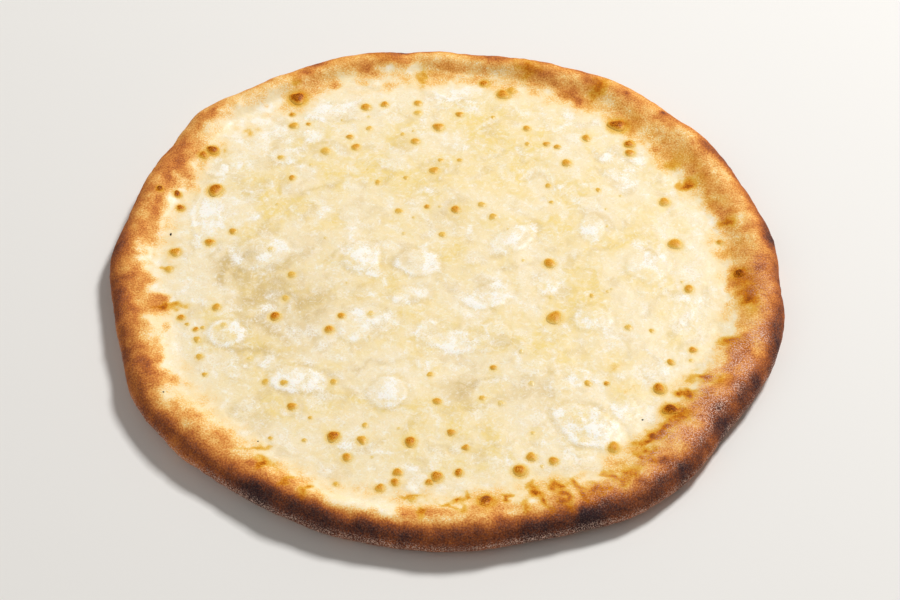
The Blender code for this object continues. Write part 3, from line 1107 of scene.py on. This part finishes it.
@dataclass(frozen=True)
class BlisterField:
    """Where the cheese has blistered: x, y and diameter in mm, by how far each has baked."""

    deep: Rows = (
        (-71, 114, 7.4), (-123, 47, 3.7), (-131, 48, 2.8), (95, -82, 6.3), (17, -131, 6.0),
    )
    dark: Rows = (
        (-106, 51, 7.0), (-121, 39, 3.7), (82, 95, 7.6), (-74, -28, 4.8), (131, -4, 4.9),
        (-46, -96, 5.4), (-14, -99, 5.0), (-3, -117, 4.9), (6, -115, 3.7), (31, -114, 5.7),
        (91, -70, 5.5), (87, 82, 4.7), (-109, 77, 5.4),
    )
    amber: Rows = (
        (101, 43, 5.1), (48, -29, 7.0), (-121, 11, 5.0), (47, 4, 5.4), (70, -102, 5.0), (-72, 95, 4.3),
        (-65, 96, 2.4), (-38, 108, 4.8), (-42, 80, 4.3), (-45, 87, 3.3), (-71, 59, 3.3),
        (-29, 110, 3.9), (-13, 111, 3.9), (-3, 94, 5.3), (-14, 84, 4.3), (7, 103, 3.8), (19, 125, 4.4),
        (28, 117, 6.0), (39, 93, 3.8), (48, 82, 3.3), (53, 80, 3.3), (67, 86, 4.3), (57, 69, 4.7),
        (-5, 64, 4.7), (-8, 40, 2.8), (5, 38, 4.6), (-96, 24, 3.6), (-106, 17, 4.5), (-100, -23, 4.0),
        (-50, -36, 4.3), (-45, -28, 3.5), (-115, -29, 3.5), (-108, -36, 2.8), (108, -12, 4.4),
        (107, -48, 3.5), (124, 17, 2.7), (-40, -107, 4.1), (-64, -80, 4.2), (-34, -98, 4.2),
        (3, -94, 3.7), (9, -102, 3.3), (-6, -120, 3.3), (-19, -115, 4.1), (36, -107, 4.5),
        (45, -109, 4.1), (-3, -77, 3.8), (21, -58, 3.0), (69, -67, 2.6), (97, -55, 3.4), (104, 16, 6.3),
        (-26, -123, 4.1), (-73, 103, 2.9), (87, 76, 4.7), (-113, 73, 4.3), (-20, -120, 3.7),
    )
    pale: Rows = (
        (-56, 77, 5.2), (-77, 73, 3.3), (-13, 104, 3.8), (-20, 89, 2.4), (32, 120, 3.9), (23, 101, 2.4),
        (39, 82, 2.8), (48, 54, 3.2), (49, 43, 2.3), (7, 71, 2.8), (-36, 93, 3.3), (-1, 22, 3.6),
        (71, 51, 2.8), (-123, 0, 4.0), (-70, -17, 3.5), (80, -35, 3.5), (-58, -98, 2.1),
        (-72, -97, 2.1), (-105, -35, 2.4), (-56, -86, 2.1), (-33, -90, 2.9), (-6, -62, 3.0),
        (16, -75, 3.0), (-13, -129, 3.7), (-2, 71, 2.8), (-18, 59, 2.8), (-31, 56, 3.3), (-21, 37, 3.7),
        (-68, -3, 4.0), (-102, -62, 2.6), (90, -37, 2.6), (-76, -66, 3.4), (-68, -67, 3.4),
        (-44, -121, 2.5), (61, -67, 3.4), (-107, -42, 3.4), (-47, -66, 3.4), (17, 41, 3.7),
        (22, 33, 4.1), (65, -16, 2.6), (-105, -52, 3.5), (-112, -33, 2.2),
    )
    faint: Rows = (
        (-78, 12, 3.6), (33, -49, 2.6), (-32, -27, 3.9), (24, -78, 3.4), (-96, -34, 3.5),
        (37, -67, 3.0),
    )
    small_ones: int = 28
    seed: int = 23

    def small(self) -> Rows:
        """The smallest bubbles, scattered over the cheese by a seeded draw."""
        draw = random.Random(self.seed)
        rows = []
        for _ in range(self.small_ones):
            rows.append((*scattered(draw, 122.0), draw.uniform(1.5, 2.4)))
        return tuple(rows)

    def blisters(self) -> list[Blister]:
        """Lists every blister in metres, group by group, the most baked first."""
        groups = (
            (Tone.DEEP, self.deep), (Tone.DARK, self.dark), (Tone.AMBER, self.amber),
            (Tone.PALE, self.pale), (Tone.FAINT, self.faint + self.small()),
        )
        return [
            Blister(x * MM, y * MM, diameter * MM, tone)
            for tone, rows in groups for x, y, diameter in rows
        ]

    def halo(self, points: np.ndarray) -> np.ndarray:
        """Works out the faint amber that each blister leaves round its foot.

        Args:
            points: Places on the bread or the cheese, one row each.

        Returns:
            How amber each place is.
        """
        total = np.zeros(len(points))
        for blister in self.blisters():
            browned, _ = blister.tone.value
            half = blister.diameter / 2
            # The halo lies a little towards the near side, where fat has run out and where painted glow
            # stands for light shining out through the blister.
            away = np.hypot(points[:, 0] - blister.x, points[:, 1] - blister.y + 0.15 * half) / half
            ring = np.maximum(away - 1.0, 0.0) / (HALO_SPREAD - 1.0)
            total = np.maximum(total, (HALO_FOOT + HALO_SHARE * browned) * np.exp(-1.6 * ring * ring))
        return total


@dataclass(frozen=True)
class Topping:
    """The look of the melted layer wherever it lies: its films, butter, thin places and relief."""

    seed: int = 5
    small_films: int = 150
    crinkle_height: float = 0.17 * MM
    fold_depth: float = 0.25 * MM
    crack_depth: float = 0.08 * MM
    # How far the melted cheese has carried its marbling, and how wide its currents are.
    flow: float = 9.0 * MM
    current: float = 16.0 * MM
    # The noise in its relief, in its films, and in its butter and thin places.
    waves: Clouds = Clouds(0.40 * MM, 34.0, 1)
    ripples: Clouds = Clouds(0.16 * MM, 9.0, 2, 29.0)
    cracks: Clouds = Clouds(1.0, 14.0, 3, 83.0)
    film_bulges: Clouds = Clouds(0.16, 8.0, 2, 41.0)
    film_fray: Clouds = Clouds(0.06, 2.0, 1, 43.0)
    film_streaks: Clouds = Clouds(1.0, 8.0, 5, 61.0)
    film_gaps: Clouds = Clouds(1.0, 5.0, 3, 79.0)
    shore_milk: Clouds = Clouds(1.4, 13.0, 3, 67.0)
    butter_swirls: Clouds = Clouds(0.9, 24.0, 4, 51.0)
    thin_clouds: Clouds = Clouds(1.0, 7.0, 3, 71.0)
    grey_wisps: Clouds = Clouds(1.0, 12.0, 4, 91.0)
    # Soft pillows (+) and hollows (-): x, y, half width and height in mm.
    pillows: Rows = (
        (-40, 9, 9, 0.8), (-11, 4, 8, 0.6), (-82, 12, 10, 0.8), (-62, -66, 8, 0.6), (-24, -72, 8, 0.6),
        (62, -92, 9, 0.5), (-95, -38, 8, 0.6), (91, 2, 8, 0.4), (65, -30, 7, 0.4), (31, 19, 8, 0.4),
        (67, 26, 6, 0.4), (-78, -12, 12, -0.7), (-66, -38, 11, -0.5), (8, -58, 12, -0.4),
        (40, 62, 14, -0.4),
    )
    # White films over flat bubbles: x, y, half length and half width in mm, turn, and strength.
    films: Rows = (
        (-37, 8, 10, 8, 70, 0.8), (-12, 4, 10.5, 8, -12, 0.80), (-62, -65, 13, 7.5, -8, 0.8),
        (-24, -72, 9, 8, 60, 0.75), (60, -91, 16, 10, -35, 0.8), (65, -30, 8.5, 7, 0, 0.55),
        (46, -10, 5, 5, 0, 0.6), (91, 2, 10, 9, 0, 0.40), (67, 26, 5.5, 8.5, 0, 0.40),
        (-15, -15, 9, 4.5, 10, 0.7), (7, -43, 17, 6, -5, 0.65), (20, -16, 11, 6.5, 25, 0.65),
        (-95, -38, 8.5, 7.5, 0, 0.8), (-82, 10, 14, 10, 20, 0.6), (5, 122, 15, 9, 0, 0.6),
        (31, 19, 13, 6, 38, 0.55), (52, -65, 10, 6, 20, 0.4), (-75, 74, 7.5, 6, 0, 0.5),
        (-109, 35, 7, 17, 0, 0.5), (-52, 104, 15, 6, 0, 0.6), (-35, -33, 12, 9, 30, 0.6),
        (85, 60, 9, 6, 60, 0.30), (-25, -30, 6, 5, 0, 0.6), (23, -38, 5, 8, 30, 0.6),
    )
    # Pools of butter: x, y and half width in mm, and strength.
    butter_pools: Rows = (
        (17, 97, 15, 0.60), (30, 74, 24, 0.40), (50, 25, 12, 0.60), (-30, 82, 17, 0.40),
        (-85, 60, 15, 0.45), (-88, -43, 7, 0.95), (-79, -45, 8, 0.50), (-22, -4, 7, 0.40),
        (65, -17, 10, 0.40), (20, -95, 20, 0.40), (-48, -86, 16, 0.40), (-92, -66, 15, 0.35),
        (45, -50, 14, 0.35), (-60, 40, 14, 0.30), (-2, 62, 12, 0.30), (100, 70, 12, 0.25),
        (-5, -60, 12, 0.25),
    )
    # Clusters of salt frost with painted glints: x, y and half width in mm, and strength.
    frost_and_glint_clusters: Rows = (
        (-110, 35, 9, 0.5), (-98, 43, 8, 0.4), (-40, 10, 12, 0.5), (31, 19, 9, 0.35),
        (60, -92, 10, 0.5), (-30, -20, 14, 0.35), (-20, -70, 9, 0.4), (-62, -66, 8, 0.4),
        (-90, -36, 8, 0.4), (20, -16, 9, 0.4), (46, -10, 6, 0.4), (70, -35, 8, 0.4), (-100, 25, 8, 0.3),
        (7, -43, 14, 0.3), (-50, -45, 12, 0.25), (90, 3, 8, 0.4), (67, 26, 6, 0.5), (-97, 92, 13, 0.55),
        (-84, 105, 11, 0.55), (-109, 72, 12, 0.45), (-62, 116, 10, 0.35), (-119, 25, 10, 0.35),
        (-121, -8, 9, 0.30), (-119, -48, 10, 0.40), (-110, -70, 9, 0.30), (-30, 124, 12, 0.30),
    )
    # Places where the layer is thin and grey: x, y and half width in mm, and strength.
    thin_places: Rows = (
        (-96, 0, 8, 0.85), (-74, -12, 12, 0.70), (-66, -38, 12, 0.50), (-56, -22, 9, 0.35),
        (-84, 12, 8, 0.35), (7, -73, 9, 0.50), (-38, -14, 9, 0.25), (2, 33, 9, 0.25),
        (-60, 17, 8, 0.30), (40, -75, 10, 0.20),
    )
    # Folds where the sheet of cheese has pulled together, with gathered fat and painted shade in the
    # crease: x, y, half length and half width in mm, turn, and strength.
    folds: Rows = (
        (-98, 0, 9, 2.0, 82, 0.80), (-91, 8, 8, 1.4, 12, 0.40), (-84, -18, 9, 3.0, 60, 0.45),
        (-80, -29, 6, 2.6, 20, 0.50), (-75, -37, 7, 2.2, -40, 0.40), (-84, -48, 13, 2.2, -5, 0.45),
        (-48, 12, 7, 1.4, 60, 0.30), (-30, -56, 14, 1.2, 12, 0.30), (14, -66, 16, 1.2, 8, 0.30),
        (30, 2, 14, 1.2, 20, 0.25), (72, 14, 12, 1.2, 30, 0.25), (-58, 52, 13, 1.2, 25, 0.30),
    )

    def all_films(self) -> list[tuple[float, ...]]:
        """The films that stand out, and small fainter ones scattered by a seeded draw."""
        films = list(self.films)
        draw = random.Random(self.seed)
        for _ in range(self.small_films):
            x, y = scattered(draw, 134.0)
            length = draw.uniform(1.8, 6.5)
            width = length * draw.uniform(0.45, 0.9)
            turn, strength = draw.uniform(-50.0, 50.0), draw.uniform(0.15, 0.6)
            films.append((x, y, length, width, turn, strength))
        return films

    def film_share(self, points: np.ndarray) -> tuple[np.ndarray, np.ndarray, np.ndarray]:
        """Finds the white films.

        Args:
            points: Places on the bread or the cheese, one row each.

        Returns:
            How far each place is inside a film, on its bright edge, and in the fold round it.
        """
        inside, edge, fold = (np.zeros(len(points)) for _ in range(3))
        uneven = self.film_bulges.at(points) + self.film_fray.at(points)
        for x, y, half_length, half_width, turn, strength in self.all_films():
            first, second = across_oval(points, x, y, half_length, half_width, turn)
            away = np.hypot(first, second) + uneven
            band = 1.2 / half_width
            thick = 0.50 * ease(away, 1.12, 0.80) + 0.50 * ease(away, 0.80, 0.15)
            inside = np.maximum(inside, strength * thick)
            # A film is thickest where it has slid down, towards its near left edge.
            side = 0.75 + 0.25 * (-0.6 * first - 0.8 * second) / np.maximum(away, 0.2)
            edge = np.maximum(edge, strength * side * np.exp(-(((away - 0.88) / band) ** 2)))
            fold = np.maximum(fold, strength * np.exp(-(((away - 1.10) / band) ** 2)))
        return inside, edge, fold

    def folded(self, points: np.ndarray) -> np.ndarray:
        """How deep in a fold each place is, with a wavering line."""
        return streaks_at(strayed(points, 4.0 * MM, 9.0 * MM, (131.0, 137.0)), self.folds)

    def relief(self, points: np.ndarray) -> np.ndarray:
        """Works out how far the melted layer stands above its level.

        Args:
            points: Places on the bread or the cheese, one row each.

        Returns:
            The height above the level at each place, in metres.
        """
        flat = points * FLAT
        inside, edge, fold = self.film_share(flat)
        height = self.waves.at(flat) + spots_at(flat, self.pillows) * MM
        height += self.crinkle_height * (edge + 0.8 * inside - 0.8 * fold)
        height += self.ripples.at(flat) - self.fold_depth * self.folded(flat)
        # Fine cracks run where their noise changes sign.
        return height - self.crack_depth * np.exp(-((self.cracks.at(flat) / 0.05) ** 2))

    def paint_on(self, mesh: bpy.types.Mesh) -> None:
        """Paints the butter, the films, the thin places and the painted shade in the folds on a piece.

        Args:
            mesh: The finished form of the bread or the cheese.
        """
        points = points_of(mesh) * FLAT
        radius = radius_of(points)
        inside, edge, fold = self.film_share(points)
        # Melted cheese has flowed: its marbling is drawn through another, slower noise.
        drift = np.column_stack([lumps(points, self.current, 2, shift) for shift in (101.0, 103.0, 107.0)])
        flowed = points + drift * self.flow
        butter = 0.26 + self.butter_swirls.at(flowed) + spots_at(points, self.butter_pools)
        butter *= 0.25 + 0.75 * ease(radius, 128.0 * MM, 104.0 * MM)
        butter += 0.35 * fold * (1.0 - inside)
        streaks = self.film_streaks.at(flowed)
        broken = ease(self.film_gaps.at(points), -0.35, 0.45)
        milk = inside * (0.42 + 0.24 * broken + 0.5 * streaks) + 0.62 * edge * (0.45 + 0.55 * broken)
        milk += 0.36 * ease(streaks, 0.10, 0.55) + spots_at(points, self.frost_and_glint_clusters) * broken
        rimward = ease(radius, 98.0 * MM, 114.0 * MM)
        milk += 0.14 * rimward * (1.0 + self.shore_milk.at(points))
        grey_veil_and_shade = spots_at(points, self.thin_places) * (0.9 + self.thin_clouds.at(flowed))
        # The folds round the films, and below those of the sheet, are painted greyer as painted shade in
        # their hollows.
        grey_veil_and_shade += 0.34 * ease(self.grey_wisps.at(flowed), 0.10, 0.6) + 0.32 * fold
        folded = self.folded(points)
        butter += 0.7 * folded
        grey_veil_and_shade += 1.5 * folded
        for mark, values in ((Mark.BUTTER, butter), (Mark.MILK, milk), (Mark.GREY_VEIL_AND_SHADE, grey_veil_and_shade)):
            paint(mesh, mark, values)


@dataclass
class Bread:
    """The dough: one closed round with its puffed rim, its bank and a flat base."""

    form: DoughForm
    bake: Bake
    topping: Topping
    blisters: BlisterField
    steps: int = 960
    cell: float = 0.8 * MM
    base_rings: int = 20
    bumps: Clouds = Clouds(0.42 * MM, 10.0, 3, 7.0)
    pimples: Clouds = Clouds(0.12 * MM, 3.0, 2, 13.0)

    def section(self) -> list[tuple[float, float]]:
        """The half section from the well over the rim to the base, as radii and heights."""
        form = self.form
        steps = round((form.crest_radius - form.well_radius) / self.cell)
        bank = np.linspace(form.well_radius, form.crest_radius, steps, endpoint=False)
        # The dough leaves the shown surface without an angle where the cheese begins to cover it.
        covered = np.maximum(form.shore_radius - bank, 0.0) / (form.shore_radius - form.well_radius)
        dip = (form.level - form.well_floor) * covered ** 2
        points = list(zip(bank, form.surface(bank) - dip))
        belly = form.rim_radius - form.crest_radius
        count = round(math.pi * belly / self.cell)
        for index in range(count + 1):
            turn = math.radians(90.0 - 155.0 * index / count)
            half_height = form.rim_height - form.core_height if turn > 0 else form.core_height
            across = form.crest_radius + belly * math.cos(turn)
            points.append((across, form.core_height + half_height * math.sin(turn)))
        for index in range(self.base_rings):
            points.append((form.foot_radius * (1.0 - index / self.base_rings) ** 0.8, 0.0))
        return points

    def build(self) -> bpy.types.Object:
        """Draws the round ring by ring along its section, stretches it and gives it its relief."""
        section = self.section()
        bread = start_circle("baked_bread", self.steps, section[0][0])
        bpy.ops.transform.translate(value=(0.0, 0.0, section[0][1]))
        bpy.ops.mesh.edge_face_add()
        for (before, _), (radius, height) in zip(section, section[1:]):
            draw_ring(height, radius / before)
        close_up()
        self.knead(bread.data)
        bread.data.shade_smooth()
        return bread

    def knead(self, mesh: bpy.types.Mesh) -> None:
        """Stretches the round and raises the bumps of its crust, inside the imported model's box.

        Args:
            mesh: The drawn round.
        """
        form = self.form
        plain = points_of(mesh)
        place_points(mesh, form.stretch(plain))
        points, normals = points_of(mesh), normals_of(mesh)
        radius = radius_of(plain)
        toast = self.bake.toast(points, normals)
        free = ease(radius, form.lip_radius + 1.5 * MM, form.crest_radius - 3.0 * MM)
        free *= ease(plain[:, 2], 0.8 * MM, 4.0 * MM)
        relief = self.bumps.at(points) + self.pimples.at(points) * (0.5 + toast)
        points += normals * (relief * free)[:, None]
        upper = plain[:, 2] > form.core_height
        cover = ease(radius, form.crest_radius, form.lip_radius) * upper
        points[:, 2] += self.topping.relief(points) * cover
        low, high = (np.array(corner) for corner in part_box("bread"))
        place_points(mesh, np.clip(points, low, high))
        amber = np.maximum(self.blisters.halo(points), self.bake.glaze(points)) * upper
        self.bake.paint_on(mesh, points, toast, amber)
        self.topping.paint_on(mesh)

    def dress(self, bread: bpy.types.Object) -> None:
        """Gives the round its crust and sets it in the place of the plain solid."""
        bread.data.materials.append(BakedCrust().material())
        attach(bread, BODY)
        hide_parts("bread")


@dataclass
class Cheese:
    """The melted layer in the well, out to a thin shore on the bank."""

    form: DoughForm
    bake: Bake
    topping: Topping
    blisters: BlisterField
    span: int = 290
    clearance: float = 0.33 * MM
    overlap: float = 3.0 * MM
    dive: float = 0.6 * MM
    side_share: float = 0.99

    @property
    def edge_radius(self) -> float:
        """Radius of the plain disc, a little past the visible shore."""
        return self.form.shore_radius + self.overlap

    def top(self, radius: np.ndarray) -> np.ndarray:
        """Height of the melted layer: the shown surface, and past the shore down into the dough.

        Args:
            radius: Distances from the middle on the plain disc.

        Returns:
            The height at each distance.
        """
        past = np.maximum(radius - self.form.shore_radius, 0.0) / self.overlap
        return self.form.surface(radius) - self.dive * past ** 2

    def build(self) -> bpy.types.Object:
        """Grid-fills a disc, raises its face, draws its side down into the dough and closes it."""
        form = self.form
        cheese = start_circle("melted_cheese", 4 * self.span, self.edge_radius)
        bpy.ops.mesh.fill_grid(span=self.span)
        bpy.ops.transform.translate(value=(0.0, 0.0, form.level))
        bpy.ops.mesh.select_all(action="DESELECT")
        bpy.ops.mesh.select_non_manifold()
        # The side drops inside the dough before it runs in, so that it never shows above a hollow.
        draw_ring(form.level - 1.0 * MM, self.side_share)
        floor = form.well_floor + self.clearance
        draw_ring(floor, form.well_radius / (self.side_share * self.edge_radius))
        close_up()
        self.melt(cheese.data)
        cheese.data.shade_smooth()
        return cheese

    def melt(self, mesh: bpy.types.Mesh) -> None:
        """Raises the upper face of the drawn layer, stretches it with the dough and paints it.

        Args:
            mesh: The drawn layer.
        """
        plain = points_of(mesh)
        radius = radius_of(plain)
        upper = plain[:, 2] > self.form.level - 0.5 * MM
        plain[:, 2] = np.where(upper, self.top(radius), plain[:, 2])
        points = self.form.stretch(plain)
        cover = ease(radius, self.form.crest_radius, self.form.lip_radius) * upper
        points[:, 2] += self.topping.relief(points) * cover
        place_points(mesh, points)
        amber = np.maximum(self.blisters.halo(points), self.bake.glaze(points))
        self.bake.paint_on(mesh, points, self.bake.toast(points), amber)
        self.topping.paint_on(mesh)

    def dress(self, cheese: bpy.types.Object) -> None:
        """Gives the cheese its finish and sets it in the place of the plain solid."""
        cheese.data.materials.append(MeltedCheese().material())
        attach(cheese, BODY)
        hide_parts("cheese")


@dataclass
class BlisterDomes:
    """The baked bubbles as thin domes that stand in the cheese."""

    places: BlisterField
    bake: Bake
    topping: Topping
    segments: int = 24
    rings: int = 8
    sink: float = 0.08 * MM
    seed: int = 11
    # A dome's width over that of its blister, and how far it may be turned, drawn out and lobed.
    spread: float = 1.12
    turns: tuple[float, float] = (-0.5, 0.5)
    ovals: tuple[float, float] = (0.84, 1.08)
    lobes: tuple[float, float] = (0.0, 0.12)
    # How much more or less than its tone its crown has browned.
    crowns: tuple[float, float] = (0.93, 1.12)

    def master(self) -> bpy.types.Object:
        """Models one dome of radius 1: rings drawn in over a disc, closed below."""
        dome = start_circle("dome", self.segments, 1.0, "NGON")
        for index in range(1, self.rings + 1):
            # Round on its crown, with a steep foot.
            size = 1.0 - index / (self.rings + 0.6)
            before = 1.0 - (index - 1) / (self.rings + 0.6)
            draw_ring((1.0 - size * size) ** 1.05, size / before)
        close_up()
        return dome

    def build(self, ground: tuple[bpy.types.Object, ...]) -> bpy.types.Object:
        """Copies the dome to every blister, joins the copies and paints them as their ground is.

        Args:
            ground: The pieces that the blisters stand on.

        Returns:
            One object with every dome.
        """
        master = self.master()
        shape = points_of(master.data)
        draw = random.Random(self.seed)
        copies = []
        for blister in self.places.blisters():
            dome = master.copy()
            dome.data = master.data.copy()
            bpy.context.scene.collection.objects.link(dome)
            self.seat(dome.data, shape, blister, draw, ground)
            copies.append(dome)
        bpy.data.objects.remove(master, do_unlink=True)
        blisters = join(copies, "cheese_blisters")
        self.topping.paint_on(blisters.data)
        return blisters

    def seat(
        self, mesh: bpy.types.Mesh, shape: np.ndarray, blister: Blister, draw: random.Random,
        ground: tuple[bpy.types.Object, ...],
    ) -> None:
        """Shapes one dome, sets it on the ground below it and paints its skin.

        Args:
            mesh: The copy to shape.
            shape: The dome of radius 1, one row for each point.
            blister: Where it stands and how large and dark it is.
            draw: The seeded draw for its unevenness.
            ground: The pieces that it stands on.
        """
        browned, rise = blister.tone.value
        half = self.spread * blister.diameter / 2
        turn, oval, lobe = (draw.uniform(*span) for span in (self.turns, self.ovals, self.lobes))
        lobe_turn = draw.uniform(0.0, 2.0 * math.pi)
        angle = np.arctan2(shape[:, 1], shape[:, 0])
        uneven = 1.0 + lobe * np.cos(3.0 * (angle - lobe_turn))
        first, second = shape[:, 0] * uneven * oval, shape[:, 1] * uneven / oval
        x = blister.x + half * (first * math.cos(turn) - second * math.sin(turn))
        y = blister.y + half * (first * math.sin(turn) + second * math.cos(turn))
        floor = np.array([height_below(px, py, ground) for px, py in zip(x, y)])
        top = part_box("bread")[1][2]
        z = np.minimum(floor - self.sink + (half * rise + self.sink) * shape[:, 2], top)
        points = np.column_stack((x, y, z))
        place_points(mesh, points)
        # The skin browns most on its crown. Its far side is painted darker and its near foot lighter
        # amber: painted glow of light shining through the skin.
        away = np.hypot(shape[:, 0], shape[:, 1])
        painted_glow_lean = 0.8 * shape[:, 1] - 0.5 * shape[:, 0]
        toast = self.bake.toast(points)
        crown = browned * draw.uniform(*self.crowns) * (1.0 + 0.35 * painted_glow_lean * ease(away, 0.0, 0.6))
        crown += 0.5 * toast
        foot = np.maximum(HALO_FOOT + HALO_SHARE * browned, toast * ease(away, 1.0, 0.9))
        paint(mesh, Mark.AMBER, foot + (crown - foot) * ease(away, 1.06, 0.45))
        paint(mesh, Mark.TOAST, toast * ease(away, 0.7, 1.0))
        paint(mesh, Mark.FRIED, np.zeros(len(points)))

    def dress(self, blisters: bpy.types.Object, finish: bpy.types.Material) -> None:
        """Gives the domes the finish of the cheese they stand in and lets them ride with the bread.

        Args:
            blisters: The joined domes.
            finish: The material of the cheese.
        """
        blisters.data.materials.append(finish)
        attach(blisters, BODY)


@dataclass
class CharredCrumbs:
    """The few crumbs burnt black that have stuck to the bread."""

    # x, y, length and width in mm, and turn in degrees, and a thickness in mm for all.
    places: Rows = (
        (-124, 22, 1.7, 0.9, 80), (83, -87, 0.9, 0.7, 0), (-118, -75, 0.7, 0.6, 0),
        (-77, -99, 0.6, 0.5, 0),
    )
    thickness: float = 0.5
    lift: float = 0.075 * MM

    def build(self, ground: tuple[bpy.types.Object, ...]) -> bpy.types.Object:
        """Models each crumb as a flattened ball at its place and joins them.

        Args:
            ground: The pieces that they lie on.

        Returns:
            One object with every crumb.
        """
        crumbs = []
        for x, y, length, width, turn in self.places:
            bpy.ops.object.select_all(action="DESELECT")
            bpy.ops.mesh.primitive_ico_sphere_add(
                subdivisions=3, radius=0.5 * MM, location=(0.0, 0.0, 0.0)
            )
            crumb = bpy.context.object
            points = points_of(crumb.data)
            points *= 1.0 + 0.35 * lumps(points, 0.5 * MM, 2, x)[:, None]
            points *= (length, width, self.thickness)
            angle = math.radians(turn)
            across, along = points[:, 0], points[:, 1]
            place_points(crumb.data, np.column_stack((
                x * MM + across * math.cos(angle) - along * math.sin(angle),
                y * MM + across * math.sin(angle) + along * math.cos(angle),
                height_below(x * MM, y * MM, ground) + points[:, 2] + self.lift,
            )))
            crumbs.append(crumb)
        return join(crumbs, "charred_crumbs")

    def dress(self, crumbs: bpy.types.Object) -> None:
        """Gives the crumbs their char and lets them ride with the bread."""
        crumbs.data.materials.append(CharredCrumb().material())
        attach(crumbs, BODY)


# ---------------------------------------------------------------------------------------------
# The studio


@dataclass
class Studio:
    """A pale table, soft light from behind on the right, and the camera."""

    camera_height: float = 47.0
    camera_distance: float = 0.9426
    lens: float = 85.0
    sensor: float = 36.0
    target: tuple[float, float, float] = (0.0025, -0.0134, 0.006)
    light_distance: float = 2.6
    key_bearing: float = 48.0
    key_height: float = 50.0
    key_size: float = 0.5
    key_power: float = 63.0
    fill_bearing: float = 215.0
    fill_height: float = 40.0
    fill_size: float = 1.8
    fill_power: float = 8.0
    sky: str = "FFFAF4"
    sky_strength: float = 0.24
    table_size: float = 6.0

    def build(self) -> None:
        """Sets up the table, the lights and the camera."""
        self.lay_table()
        self.hang_light("key", self.key_bearing, self.key_height, self.key_size, self.key_power)
        self.hang_light("fill", self.fill_bearing, self.fill_height, self.fill_size, self.fill_power)
        world = bpy.data.worlds.new("soft studio")
        world.use_nodes = True
        background = world.node_tree.nodes["Background"]
        background.inputs["Color"].default_value = hex_colour(self.sky)
        background.inputs["Strength"].default_value = self.sky_strength
        bpy.context.scene.world = world
        bpy.context.scene.view_settings.view_transform = "Standard"
        self.set_camera()

    def lay_table(self) -> None:
        """Lays the pale table top, which isn't part of the object."""
        bpy.ops.object.select_all(action="DESELECT")
        bpy.ops.mesh.primitive_plane_add(size=self.table_size)
        table = bpy.context.object
        table.name = "table"
        table.data.materials.append(PaleTable().material())

    def hang_light(self, name: str, bearing: float, height: float, size: float, power: float) -> None:
        """Hangs one soft square light that looks at the bread.

        Args:
            name: The light's name.
            bearing: Where it hangs, in degrees from +X towards +Y.
            height: Its angle above the table, in degrees.
            size: The side of its square, in metres.
            power: Its power in watts.
        """
        turn, lift = math.radians(bearing), math.radians(height)
        away = Vector((math.cos(turn) * math.cos(lift), math.sin(turn) * math.cos(lift), math.sin(lift)))
        lamp = bpy.data.lights.new(name, "AREA")
        lamp.shape = "SQUARE"
        lamp.size = size
        lamp.energy = power
        light = bpy.data.objects.new(name, lamp)
        light.location = away * self.light_distance
        light.rotation_euler = away.to_track_quat("Z", "Y").to_euler()
        bpy.context.scene.collection.objects.link(light)

    def set_camera(self) -> None:
        """Places the camera at the photograph's angle."""
        lift = math.radians(self.camera_height)
        away = Vector((0.0, -math.cos(lift), math.sin(lift)))
        lens = bpy.data.cameras.new("camera")
        lens.lens = self.lens
        lens.sensor_width = self.sensor
        lens.clip_start = 0.01
        camera = bpy.data.objects.new("camera", lens)
        camera.location = Vector(self.target) + away * self.camera_distance
        camera.rotation_euler = away.to_track_quat("Z", "Y").to_euler()
        bpy.context.scene.collection.objects.link(camera)
        bpy.context.scene.camera = camera


def report(piece: bpy.types.Object) -> None:
    """Logs a piece's name and how many triangles it has."""
    triangles = sum(len(face.vertices) - 2 for face in piece.data.polygons)
    LOG.info("%s: %d triangles", piece.name, triangles)


def main() -> None:
    """Builds the bread, its cheese and blisters, and the studio round them."""
    logging.basicConfig(level=logging.INFO, format="%(name)s: %(message)s", stream=sys.stdout)
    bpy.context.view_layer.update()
    form = DoughForm()
    bake = Bake(form)
    topping = Topping()
    places = BlisterField()

    bread_maker = Bread(form, bake, topping, places)
    bread = bread_maker.build()
    bread_maker.dress(bread)
    report(bread)

    cheese_maker = Cheese(form, bake, topping, places)
    cheese = cheese_maker.build()
    cheese_maker.dress(cheese)
    report(cheese)

    dome_maker = BlisterDomes(places, bake, topping)
    blisters = dome_maker.build((bread, cheese))
    dome_maker.dress(blisters, cheese.data.materials[0])
    report(blisters)

    crumb_maker = CharredCrumbs()
    crumbs = crumb_maker.build((bread, cheese))
    crumb_maker.dress(crumbs)
    report(crumbs)

    Studio().build()


if __name__ == "__main__":
    main()
